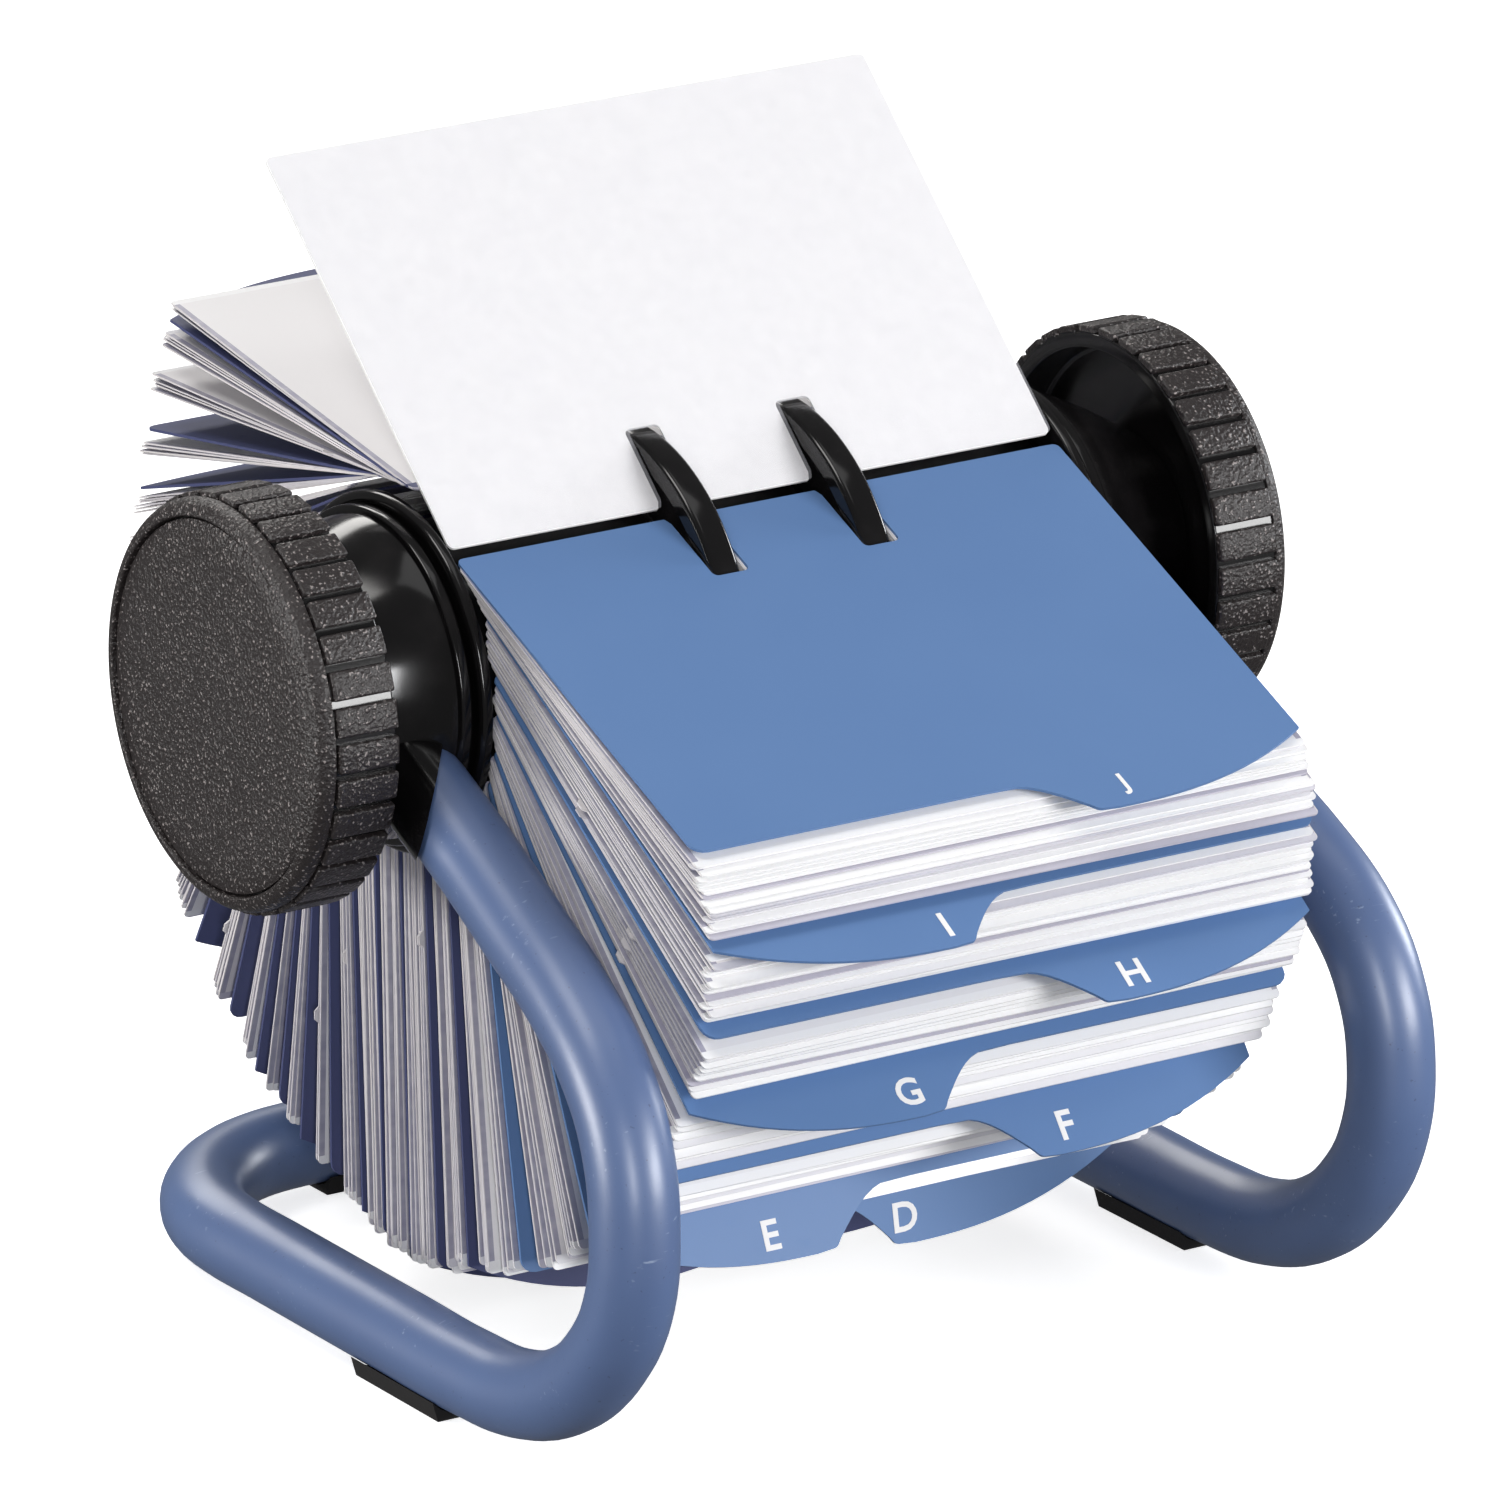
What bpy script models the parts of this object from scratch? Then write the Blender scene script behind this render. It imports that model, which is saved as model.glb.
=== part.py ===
"""Rotary card file: a wheel of card sleeves and index dividers that turns on a bent tube frame.

X runs along the wheel's axle from the left knob to the right one, +Y is the back and +Z is up.
The origin is on the table, under the middle of the whole object. Lengths named below are in
millimetres and are turned into metres as each mesh is made. Pieces are drawn about the middle of
the axle, and an empty at that point carries them.
"""
import math

import bmesh
import bpy
from mathutils import Vector

MM = 0.001
CLEARANCE = 0.3

# Driving dimensions
AXLE_HEIGHT = 98.1
AXLE_Y = 2.145
AXLE_RADIUS = 4.0
AXLE_HALF_LENGTH = 78.4
CARD_WIDTH = 101.6
CARD_HEIGHT = 66.7
TAB_HEIGHT = 8.0
SHEET_THICKNESS = 0.5
SLOT_X = 12.7
SLOT_HALF_WIDTH = 3.0
SLOT_DEPTH = 13.6
DRUM_RADIUS = 20.3
DRUM_WALL = 2.0
DRUM_HALF_LENGTH = 51.0
RAIL_RADIUS = 30.0
RAIL_HEAD_WIDTH = 4.8
FLANGE_RADIUS = 26.1
FLANGE_X = 51.4
FLANGE_THICKNESS = 1.3
HOUSING_X = 53.4
HOUSING_END_X = 74.5
HOUSING_RADIUS = 24.5
KNOB_RIM_X = 69.4
KNOB_FACE_X = 82.0
KNOB_PAD_RADIUS = 30.3
KNOB_PAD_LENGTH = 10.0
KNOB_PADS = 36
KNOB_INNER_RADIUS = 26.9
CAP_RADIUS = 26.9
TUBE_RADIUS = 6.35
TUBE_WALL = 1.2
TUBE_SIDES = 10
TUBE_ARM_X = 60.0
BASE_X = 63.8
BASE_Z = -90.8
REAR_Y = 54.0
REAR_BEND_RADIUS = 28.0

# Where the fan of cards stands: the index letter, the place of the card's inner edge round the axle
# in degrees (0 is the front, 90 is the top), the direction the card points in, and its inner radius.
FAN = [
    ("J", 53.4, -22.5, 25.1),
    ("I", 32.0, -27.5, 25.1),
    ("H", 13.0, -34.0, 25.1),
    ("G", 1.5, -42.0, 25.1),
    ("F", -12.0, -52.0, 25.1),
    ("E", -24.0, -66.0, 25.1),
    ("D", -38.0, -79.5, 25.1),
    ("C", -57.0, -85.5, 23.0),
    ("B", -74.0, -87.0, 21.8),
    ("A", -92.0, -88.0, 21.6),
    ("V", -141.4, -90.0, 25.1),
    ("R", -170.4, -110.4, 25.1),
    ("N", -232.0, -154.0, 26.8),
    ("K", -276.6, -186.6, 27.8),
]
RAISED_CARD = ("raised", 58.0, 137.7, 25.1)
LEFT_TABS = "IGECAK"


# ---------------------------------------------------------------- materials and mesh helpers


def material(name, colour, roughness, metallic=0.0):
    """A Principled material of one colour."""
    made = bpy.data.materials.new(name)
    made.use_nodes = True
    shader = made.node_tree.nodes["Principled BSDF"]
    shader.inputs["Base Color"].default_value = (*colour, 1.0)
    shader.inputs["Roughness"].default_value = roughness
    shader.inputs["Metallic"].default_value = metallic
    return made


def empty(name):
    """An empty at the middle of the axle, which carries the pieces drawn about it."""
    made = bpy.data.objects.new(name, None)
    made.location = (0.0, AXLE_Y * MM, AXLE_HEIGHT * MM)
    bpy.context.scene.collection.objects.link(made)
    return made


def add(name, mesh, look, parent):
    """An object of the mesh, with its material, under its parent."""
    made = bpy.data.objects.new(name, mesh)
    if not mesh.materials:
        mesh.materials.append(look)
    bpy.context.scene.collection.objects.link(made)
    made.parent = parent
    return made


def finish(bm, name, smooth_angle=35.0):
    """Turn the bmesh, drawn in millimetres, into a mesh in metres whose faces point out."""
    bmesh.ops.remove_doubles(bm, verts=bm.verts, dist=0.0001)
    bmesh.ops.recalc_face_normals(bm, faces=bm.faces)
    bmesh.ops.scale(bm, vec=(MM, MM, MM), verts=bm.verts)
    mesh = bpy.data.meshes.new(name)
    bm.to_mesh(mesh)
    bm.free()
    mesh.shade_smooth()
    mesh.set_sharp_from_angle(angle=math.radians(smooth_angle))
    return mesh


def turned(name, profile, steps, side=1):
    """Turn a closed profile of (x, radius) points round the X axis. side -1 mirrors it to the left."""
    bm = bmesh.new()
    verts = [bm.verts.new((side * x, 0.0, radius)) for x, radius in profile]
    edges = [bm.edges.new((verts[i - 1], verts[i])) for i in range(len(verts))]
    bmesh.ops.spin(
        bm, geom=verts + edges, cent=(0, 0, 0), axis=(1, 0, 0), angle=math.tau, steps=steps, use_merge=True
    )
    return finish(bm, name)


def prism(name, outline, start, length, along):
    """Extrude a closed outline of 3-D points by a length along a direction."""
    bm = bmesh.new()
    face = bm.faces.new([bm.verts.new(Vector(point) + Vector(along) * start) for point in outline])
    grown = bmesh.ops.extrude_face_region(bm, geom=[face])["geom"]
    moved = [item for item in grown if isinstance(item, bmesh.types.BMVert)]
    bmesh.ops.translate(bm, verts=moved, vec=Vector(along) * length)
    return finish(bm, name)


def arc(centre, radius, first, last, steps):
    """Points on an arc in a plane, from one angle to another in degrees."""
    points = []
    for i in range(steps + 1):
        angle = math.radians(first + (last - first) * i / steps)
        points.append((centre[0] + radius * math.cos(angle), centre[1] + radius * math.sin(angle)))
    return points


def smooth_route(points, steps):
    """A smooth curve through the points, with a number of steps between each two of them."""
    route = []
    for i in range(len(points) - 1):
        before = Vector(points[max(i - 1, 0)])
        first = Vector(points[i])
        second = Vector(points[i + 1])
        after = Vector(points[min(i + 2, len(points) - 1)])
        for k in range(steps):
            t = k / steps
            curve = 2.0 * first + (second - before) * t
            curve += (2.0 * before - 5.0 * first + 4.0 * second - after) * t**2
            curve += (3.0 * first - before - 3.0 * second + after) * t**3
            route.append(curve * 0.5)
    route.append(Vector(points[-1]))
    return route


def cutter(name, mesh, parent):
    """A hidden object that cuts others."""
    made = add(name, mesh, PLAIN, parent)
    made.hide_render = True
    made.display_type = "WIRE"
    return made


def cut(target, tool):
    """Cut the tool's shape out of the target."""
    step = target.modifiers.new("cut " + tool.name, "BOOLEAN")
    step.operation = "DIFFERENCE"
    step.solver = "EXACT"
    step.object = tool


# ---------------------------------------------------------------- frame


def tube_route():
    """The middle line of the whole tube, from the left hub down, round the base and up again."""
    side = [
        (TUBE_ARM_X, -13.0, -6.2),
        (TUBE_ARM_X, -33.6, -16.0),
        (60.8, -48.5, -22.9),
        (61.8, -62.5, -29.4),
        (62.8, -73.2, -36.8),
        (63.4, -79.4, -45.4),
        (BASE_X, -81.9, -56.2),
        (BASE_X, -80.3, -67.2),
        (BASE_X, -74.2, -77.4),
        (BASE_X, -64.6, -85.2),
        (BASE_X, -52.6, -89.6),
        (BASE_X, -39.0, BASE_Z),
        (BASE_X, 0.0, BASE_Z),
    ]
    bend = (BASE_X - REAR_BEND_RADIUS, REAR_Y - REAR_BEND_RADIUS)
    rear = [(x, y, BASE_Z) for x, y in arc(bend, REAR_BEND_RADIUS, 0.0, 90.0, 3)]
    right = side + rear
    left = [(-x, y, z) for x, y, z in right]
    return smooth_route(left + right[::-1], 2)


def tube_frame(parent):
    """One bent tube, open at both ends, which are pushed into the hubs."""
    curve = bpy.data.curves.new("tube route", "CURVE")
    curve.dimensions = "3D"
    route = tube_route()
    line = curve.splines.new("POLY")
    line.points.add(len(route) - 1)
    for point, place in zip(line.points, route):
        point.co = (*(place * MM), 1.0)
    curve.bevel_depth = TUBE_RADIUS * MM
    curve.bevel_resolution = TUBE_SIDES // 2 - 2
    curve.use_fill_caps = False
    sweep = bpy.data.objects.new("tube sweep", curve)
    mesh = bpy.data.meshes.new_from_object(sweep)
    mesh.name = "tube_frame"
    bpy.data.objects.remove(sweep)
    bm = bmesh.new()
    bm.from_mesh(mesh)
    bmesh.ops.remove_doubles(bm, verts=bm.verts, dist=0.00001)
    bmesh.ops.recalc_face_normals(bm, faces=bm.faces)
    bm.to_mesh(mesh)
    bm.free()
    mesh.shade_smooth()
    mesh.materials.clear()
    frame = add("tube_frame", mesh, TUBE_PAINT, parent)
    wall = frame.modifiers.new("wall", "SOLIDIFY")
    wall.thickness = TUBE_WALL * MM
    wall.offset = -1.0
    wall.use_rim = True
    return frame


def foot_pads(parent):
    """Four rubber pads under the tube: two near the front and two under the rear corners."""
    top = TUBE_RADIUS + CLEARANCE
    floor = -AXLE_HEIGHT - BASE_Z
    hollow = arc((0.0, 0.0), top, -140.0, -40.0, 6)
    half = 4.2
    length = 22.0
    front_y = -26.0
    rear_x = 22.0
    for name, x, y, turn in [
        ("foot_pad_front_left", -BASE_X, front_y, 0.0),
        ("foot_pad_front_right", BASE_X, front_y, 0.0),
        ("foot_pad_rear_left", -rear_x, REAR_Y, 90.0),
        ("foot_pad_rear_right", rear_x, REAR_Y, 90.0),
    ]:
        profile = hollow + [(half, floor), (-half, floor)]
        outline = [(across, 0.0, up) for across, up in profile]
        mesh = prism(name, outline, -length / 2, length, (0, 1, 0))
        pad = add(name, mesh, PAD_RUBBER, parent)
        pad.location = (x * MM, y * MM, BASE_Z * MM)
        pad.rotation_euler = (0.0, 0.0, math.radians(turn))


def bearing_housing(side, label, parent):
    """The fixed hub: a flared spool that holds the tube's end and the axle's bush."""
    bore = 6.9
    mouth_radius = 13.2
    mouth_end = 57.0
    profile = [
        (HOUSING_X, HOUSING_RADIUS - 0.6),
        (HOUSING_X + 0.6, HOUSING_RADIUS),
        (HOUSING_X + 2.2, HOUSING_RADIUS - 0.2),
        (58.5, 22.9),
        (62.0, 21.3),
        (66.0, 19.4),
        (70.0, 17.2),
        (HOUSING_END_X - 1.0, 14.6),
        (HOUSING_END_X, 13.6),
        (HOUSING_END_X, bore),
        (mouth_end, bore),
        (mouth_end, mouth_radius),
        (HOUSING_X, mouth_radius),
    ]
    mesh = turned("bearing_housing_" + label, profile, 28, side)
    housing = add("bearing_housing_" + label, mesh, GLOSS_BLACK, parent)
    cut(housing, bpy.data.objects["socket_cutter_" + label])


def socket_cutter(side, label, parent):
    """The round socket for the tube's end, along the line of the tube's arm."""
    inner = Vector((side * TUBE_ARM_X, -13.0, -6.2))
    outer = Vector((side * TUBE_ARM_X, -33.6, -16.0))
    along = (outer - inner).normalized()
    across = Vector((1.0, 0.0, 0.0))
    up = along.cross(across)
    outline = []
    for across_part, up_part in arc((0.0, 0.0), TUBE_RADIUS + CLEARANCE, 0.0, 337.5, 15):
        outline.append(inner + across * across_part + up * up_part)
    mesh = prism("socket_cutter_" + label, outline, -0.8, 24.0, along)
    cutter("socket_cutter_" + label, mesh, parent)


def axle_bush(side, label, parent):
    """A flanged plastic bush in the housing, in which the axle turns."""
    bore = AXLE_RADIUS + CLEARANCE
    outer_radius = 6.6
    start = 57.6
    end = HOUSING_END_X - 0.6
    profile = [(start, outer_radius), (end, outer_radius), (end, bore), (start, bore)]
    add("axle_bush_" + label, turned("axle_bush_" + label, profile, 16, side), WHITE_PLASTIC, parent)


def clutch(side, label, parent):
    """The drag clutch in the housing's mouth: a felt ring pressed on the flange by a wavy spring."""
    felt_start, felt_end = 53.1, 54.7
    inner, outer = 8.0, 12.8
    felt = [(felt_start, inner), (felt_start, outer), (felt_end, outer), (felt_end, inner)]
    add("clutch_ring_" + label, turned("clutch_ring_" + label, felt, 20, side), FELT, parent)
    bm = bmesh.new()
    waves = 3
    steps = 30
    spring_x, wave_height = 55.85, 0.5
    half = 0.2
    section = [(-half, 8.6), (-half, 12.2), (half, 12.2), (half, 8.6)]
    rings = []
    for i in range(steps):
        angle = math.tau * i / steps
        middle = spring_x + wave_height * math.sin(waves * angle)
        ring = []
        for x, radius in section:
            place = (side * (middle + x), radius * math.cos(angle), radius * math.sin(angle))
            ring.append(bm.verts.new(place))
        rings.append(ring)
    for i in range(steps):
        for k in range(4):
            a, b = rings[i - 1][k - 1], rings[i - 1][k]
            c, d = rings[i][k], rings[i][k - 1]
            bm.faces.new((a, b, c, d))
    add("clutch_spring_" + label, finish(bm, "clutch_spring_" + label), STEEL, parent)


def tube_screw(side, label, parent):
    """A grub screw through the housing's outer side, which holds the tube's end."""
    profile = [
        (66.85, 0.0),
        (66.85, 1.1),
        (67.6, 1.7),
        (71.4, 1.7),
        (71.4, 0.0),
    ]
    mesh = turned("tube_screw_" + label, profile, 10, side)
    screw = add("tube_screw_" + label, mesh, STEEL, parent)
    screw.location = (0.0, -11.4 * MM, -5.4 * MM)
    hole = [(66.0, 0.0), (66.0, 2.0), (76.0, 2.0), (76.0, 0.0)]
    tool = cutter("screw_cutter_" + label, turned("screw_cutter_" + label, hole, 12, side), parent)
    tool.location = screw.location
    cut(bpy.data.objects["bearing_housing_" + label], tool)


# ---------------------------------------------------------------- wheel


def axle(parent):
    """The steel axle, with a tapped hole in each end."""
    chamfer = 0.5
    end = AXLE_HALF_LENGTH
    hole = 2.0
    depth = 9.0
    profile = [
        (-end + depth, 0.0),
        (-end + depth, hole),
        (-end, hole),
        (-end, AXLE_RADIUS - chamfer),
        (-end + chamfer, AXLE_RADIUS),
        (end - chamfer, AXLE_RADIUS),
        (end, AXLE_RADIUS - chamfer),
        (end, hole),
        (end - depth, hole),
        (end - depth, 0.0),
    ]
    add("axle", turned("axle", profile, 16), STEEL, parent)


def drum(parent):
    """The black tube that the rails stand on."""
    inner = DRUM_RADIUS - DRUM_WALL
    end = DRUM_HALF_LENGTH
    profile = [(-end, inner), (-end, DRUM_RADIUS), (end, DRUM_RADIUS), (end, inner)]
    add("drum_shell", turned("drum_shell", profile, 32), DRUM_BLACK, parent)


def rail(side, label, parent):
    """A ring with a wide head on a narrow neck, which the slots in the cards clip over."""
    middle = side * SLOT_X
    head = RAIL_HEAD_WIDTH / 2
    neck = 1.3
    foot = DRUM_RADIUS + CLEARANCE
    profile = [
        (middle - neck, foot),
        (middle - neck, 25.6),
        (middle - head, 27.2),
        (middle - head, 29.2),
        (middle - head + 0.8, RAIL_RADIUS),
        (middle + head - 0.8, RAIL_RADIUS),
        (middle + head, 29.2),
        (middle + head, 27.2),
        (middle + neck, 25.6),
        (middle + neck, foot),
    ]
    add("rail_" + label, turned("rail_" + label, profile, 36), GLOSS_BLACK, parent)


def flange(side, label, parent):
    """The glossy disc at the end of the drum, with a spigot inside the drum and a hub on the axle."""
    bore = AXLE_RADIUS + CLEARANCE
    spigot = DRUM_RADIUS - DRUM_WALL - CLEARANCE
    inner = DRUM_HALF_LENGTH - 8.0
    outer = FLANGE_X + FLANGE_THICKNESS
    profile = [
        (outer, bore),
        (outer, FLANGE_RADIUS - 0.5),
        (outer - 0.5, FLANGE_RADIUS),
        (FLANGE_X, FLANGE_RADIUS),
        (FLANGE_X, spigot),
        (inner, spigot),
        (inner, spigot - 1.8),
        (FLANGE_X - 1.6, spigot - 1.8),
        (FLANGE_X - 1.6, 7.5),
        (inner, 7.5),
        (inner, bore),
    ]
    add("flange_" + label, turned("flange_" + label, profile, 28, side), GLOSS_BLACK, parent)


def knob_grooves(side, label, parent):
    """The narrow grooves between the grip pads."""
    bm = bmesh.new()
    half = 1.25
    for i in range(KNOB_PADS):
        angle = math.tau * (i + 0.5) / KNOB_PADS
        out = Vector((0.0, math.cos(angle), math.sin(angle)))
        across = Vector((0.0, -math.sin(angle), math.cos(angle)))
        corners = []
        for x in (KNOB_RIM_X - 1.0, KNOB_RIM_X + KNOB_PAD_LENGTH):
            for part, radius in ((-half, 29.2), (half, 29.2), (half, 32.0), (-half, 32.0)):
                place = out * radius + across * part
                corners.append(bm.verts.new((side * x, place.y, place.z)))
        low, high = corners[:4], corners[4:]
        bm.faces.new(low)
        bm.faces.new(high)
        for k in range(4):
            bm.faces.new((low[k - 1], low[k], high[k], high[k - 1]))
    cutter("groove_cutter_" + label, finish(bm, "groove_cutter_" + label), parent)


def knob(side, label, parent):
    """A hollow thumb wheel, open towards the frame, with grip pads round its inner half."""
    bore = AXLE_RADIUS + CLEARANCE
    web = 75.2
    pad_end = KNOB_RIM_X + KNOB_PAD_LENGTH
    shoulder = [(x, radius) for x, radius in arc((KNOB_FACE_X - 2.2, 27.4), 2.2, 80.0, 0.0, 3)]
    profile = [
        (KNOB_RIM_X, KNOB_INNER_RADIUS),
        (KNOB_RIM_X, KNOB_PAD_RADIUS - 0.4),
        (KNOB_RIM_X + 0.4, KNOB_PAD_RADIUS),
        (pad_end - 0.7, KNOB_PAD_RADIUS),
        *shoulder,
        (80.3, 27.2),
        (80.3, 24.0),
        (web + 2.0, 23.0),
        (web + 2.0, bore),
        (web, bore),
        (web, KNOB_INNER_RADIUS),
    ]
    made = add("knob_" + label, turned("knob_" + label, profile, KNOB_PADS, side), KNOB_BLACK, parent)
    cut(made, bpy.data.objects["groove_cutter_" + label])


def knob_cap(side, label, parent):
    """The disc that closes the knob's face over the end screw."""
    back = 80.3 + CLEARANCE
    profile = [
        (back, 0.0),
        (back, CAP_RADIUS),
        (KNOB_FACE_X - 0.4, CAP_RADIUS),
        (KNOB_FACE_X, CAP_RADIUS - 0.4),
        (KNOB_FACE_X, 0.0),
    ]
    add("knob_cap_" + label, turned("knob_cap_" + label, profile, 32, side), KNOB_BLACK, parent)


def knob_fastening(side, label, parent):
    """The washer and the screw that hold the knob on the axle."""
    washer_in = 77.2 + CLEARANCE
    washer = [(washer_in, 4.6), (washer_in, 8.5), (washer_in + 0.8, 8.5), (washer_in + 0.8, 4.6)]
    add("knob_washer_" + label, turned("knob_washer_" + label, washer, 14, side), STEEL, parent)
    under = 78.3 + CLEARANCE
    screw = [
        (under - 7.6, 0.0),
        (under - 7.6, 1.7),
        (under, 1.7),
        (under, 6.0),
        (under + 0.9, 6.0),
        (under + 1.6, 3.4),
        (under + 1.6, 0.0),
    ]
    made = turned("knob_screw_" + label, screw, 12, side)
    add("knob_screw_" + label, made, STEEL, parent)


# ---------------------------------------------------------------- cards


def inner_edge(phi, radius):
    """The point of a card's inner edge, in the plane across the axle."""
    angle = math.radians(phi)
    return Vector((0.0, -radius * math.cos(angle), radius * math.sin(angle)))


def pointing(theta):
    """The unit direction of a card, in the plane across the axle."""
    angle = math.radians(theta)
    return Vector((0.0, -math.cos(angle), math.sin(angle)))


def slot_outline(middle):
    """One slot, from the card's left to its right, open at the inner edge and round at its end."""
    low = SLOT_DEPTH - 1.2
    half = SLOT_HALF_WIDTH
    left = [(middle - half, 0.0), (middle - half, low), (middle - half + 0.9, SLOT_DEPTH)]
    right = [(middle + half - 0.9, SLOT_DEPTH), (middle + half, low), (middle + half, 0.0)]
    return left + right


def card_outline(tab):
    """A card or divider in its own plane: (x, distance from the inner edge). tab is -1, 0 or 1."""
    half = CARD_WIDTH / 2
    points = [(-half, 0.0)] + slot_outline(-SLOT_X) + slot_outline(SLOT_X) + [(half, 0.0)]
    points.append((half, CARD_HEIGHT))
    if tab:
        rise = []
        for t in (0.0, 0.5, 0.8, 1.0):
            rise.append((1.5 + 10.0 * t, CARD_HEIGHT + 7.4 * (1.0 - math.cos(t * math.pi / 2))))
        crown = []
        for i in range(1, 7):
            t = i / 7
            lift = TAB_HEIGHT * (1.0 - t**2.4)
            crown.append((16.0 + (half - 16.0) * t, CARD_HEIGHT + lift))
        edge = rise + [(16.0, CARD_HEIGHT + TAB_HEIGHT)] + crown
        if tab > 0:
            points += edge[::-1]
        else:
            points += [(-x, s) for x, s in edge]
    points.append((-half, CARD_HEIGHT))
    return points


def sheet(name, tab, thickness, lift, look):
    """The mesh of a flat card, in its own plane, centred at a height above that plane."""
    outline = [(x, s, 0.0) for x, s in card_outline(tab)]
    mesh = prism(name, outline, lift - thickness / 2, thickness, (0, 0, 1))
    mesh.materials.append(look)
    return mesh


def stand(name, mesh, station, parent):
    """Stand a sheet on the rails at its place in the fan, with its origin on its inner edge."""
    _, phi, theta, radius = station
    card = add(name, mesh, None, parent)
    card.location = inner_edge(phi, radius) * MM
    card.rotation_euler = (math.radians(180.0 - theta), 0.0, 0.0)
    return card


def between(first, second, share):
    """A place in the fan between two stations: its inner edge, outer edge and side direction."""
    phi, theta, radius = [a + (b - a) * share for a, b in zip(first[1:], second[1:])]
    inside = inner_edge(phi, radius)
    along = pointing(theta)
    side = Vector((0.0, -along.z, along.y))
    return inside, inside + along * CARD_HEIGHT, side


def rail_cutters(parent):
    """The two rings of air that every block of sleeves leaves round the rails."""
    for side, label in SIDES:
        middle = side * SLOT_X
        low = middle - SLOT_HALF_WIDTH
        high = middle + SLOT_HALF_WIDTH
        reach = RAIL_RADIUS + 1.0
        profile = [(low, 0.0), (low, reach), (high, reach), (high, 0.0)]
        cutter("rail_cutter_" + label, turned("rail_cutter_" + label, profile, 36), parent)


def pack(name, outline, parent):
    """A block of card sleeves: a wedge across the wheel, open round both rails."""
    mesh = prism(name, outline, -CARD_WIDTH / 2, CARD_WIDTH, (1, 0, 0))
    block = add(name, mesh, SLEEVE, parent)
    for _, label in SIDES:
        cut(block, bpy.data.objects["rail_cutter_" + label])


def packs(parent):
    """The blocks of sleeves between each two dividers, and the thin one on top of the last."""
    gap = SHEET_THICKNESS / 2 + CLEARANCE
    for first, second in zip(FAN, FAN[1:]):
        inner = []
        outer = []
        for share, shift in ((0.0, gap), (1 / 3, 0.0), (2 / 3, 0.0), (1.0, -gap)):
            inside, outside, side = between(first, second, share)
            inner.append(inside + side * shift)
            outer.append(outside + side * shift)
        pack("sleeves_" + first[0] + "_" + second[0], inner + outer[::-1], parent)
    inside, outside, side = between(FAN[-1], FAN[-1], 0.0)
    near = inside + pointing(FAN[-1][2]) * 16.0
    layers = [near + side * gap, outside + side * gap, outside + side * 3.0, near + side * 2.2]
    pack("sleeves_top", layers, parent)


def cards(parent):
    """The dividers, the raised card with its sleeve, and the blocks of sleeves."""
    tabs = {-1: sheet("divider left tab", -1, SHEET_THICKNESS, 0.0, DIVIDER_BLUE)}
    tabs[1] = sheet("divider right tab", 1, SHEET_THICKNESS, 0.0, DIVIDER_BLUE)
    for station in FAN:
        tab = -1 if station[0] in LEFT_TABS else 1
        stand("divider_" + station[0], tabs[tab], station, parent)
    stand("raised_card", sheet("raised_card", 0, 0.4, 0.0, CARD_WHITE), RAISED_CARD, parent)
    stand("raised_sleeve", sheet("raised_sleeve", 0, 0.3, 0.65, SLEEVE), RAISED_CARD, parent)
    packs(parent)


# ---------------------------------------------------------------- build

SIDES = [(-1, "left"), (1, "right")]

for old in list(bpy.data.objects):
    bpy.data.objects.remove(old)

PLAIN = material("plain", (0.5, 0.5, 0.5), 0.5)
TUBE_PAINT = material("tube_paint", (0.20, 0.24, 0.38), 0.35, 0.3)
PAD_RUBBER = material("pad_rubber", (0.01, 0.01, 0.01), 0.8)
GLOSS_BLACK = material("gloss_black", (0.01, 0.01, 0.011), 0.1)
KNOB_BLACK = material("knob_black", (0.035, 0.035, 0.04), 0.5)
DRUM_BLACK = material("drum_black", (0.01, 0.01, 0.01), 0.4)
WHITE_PLASTIC = material("white_plastic", (0.8, 0.8, 0.78), 0.4)
STEEL = material("steel", (0.6, 0.6, 0.62), 0.3, 1.0)
FELT = material("felt", (0.25, 0.25, 0.24), 0.95)
DIVIDER_BLUE = material("divider_blue", (0.13, 0.24, 0.48), 0.45)
CARD_WHITE = material("card_white", (0.88, 0.88, 0.89), 0.6)
SLEEVE = material("sleeve", (0.85, 0.85, 0.88), 0.3)

frame_centre = empty("frame_centre")
wheel_centre = empty("wheel_centre")

tube_frame(frame_centre)
foot_pads(frame_centre)
axle(wheel_centre)
drum(wheel_centre)
rail_cutters(wheel_centre)
for number, word in SIDES:
    socket_cutter(number, word, frame_centre)
    bearing_housing(number, word, frame_centre)
    axle_bush(number, word, frame_centre)
    clutch(number, word, frame_centre)
    tube_screw(number, word, frame_centre)
    flange(number, word, wheel_centre)
    rail(number, word, wheel_centre)
    knob_grooves(number, word, wheel_centre)
    knob(number, word, wheel_centre)
    knob_cap(number, word, wheel_centre)
    knob_fastening(number, word, wheel_centre)
cards(wheel_centre)
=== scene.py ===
"""Looks of the rotary card file: every visible piece and finish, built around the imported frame.

Lengths are in millimetres in wheel space, which has its origin at the middle of the axle, X along the
axle and Z up. The settle functions turn them into the frame's metres.
"""

import logging
import math
import random
from dataclasses import dataclass, field, replace
from enum import Enum
from typing import Any, Iterable, Sequence

import bmesh
import bpy
from mathutils import Matrix, Vector


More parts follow.
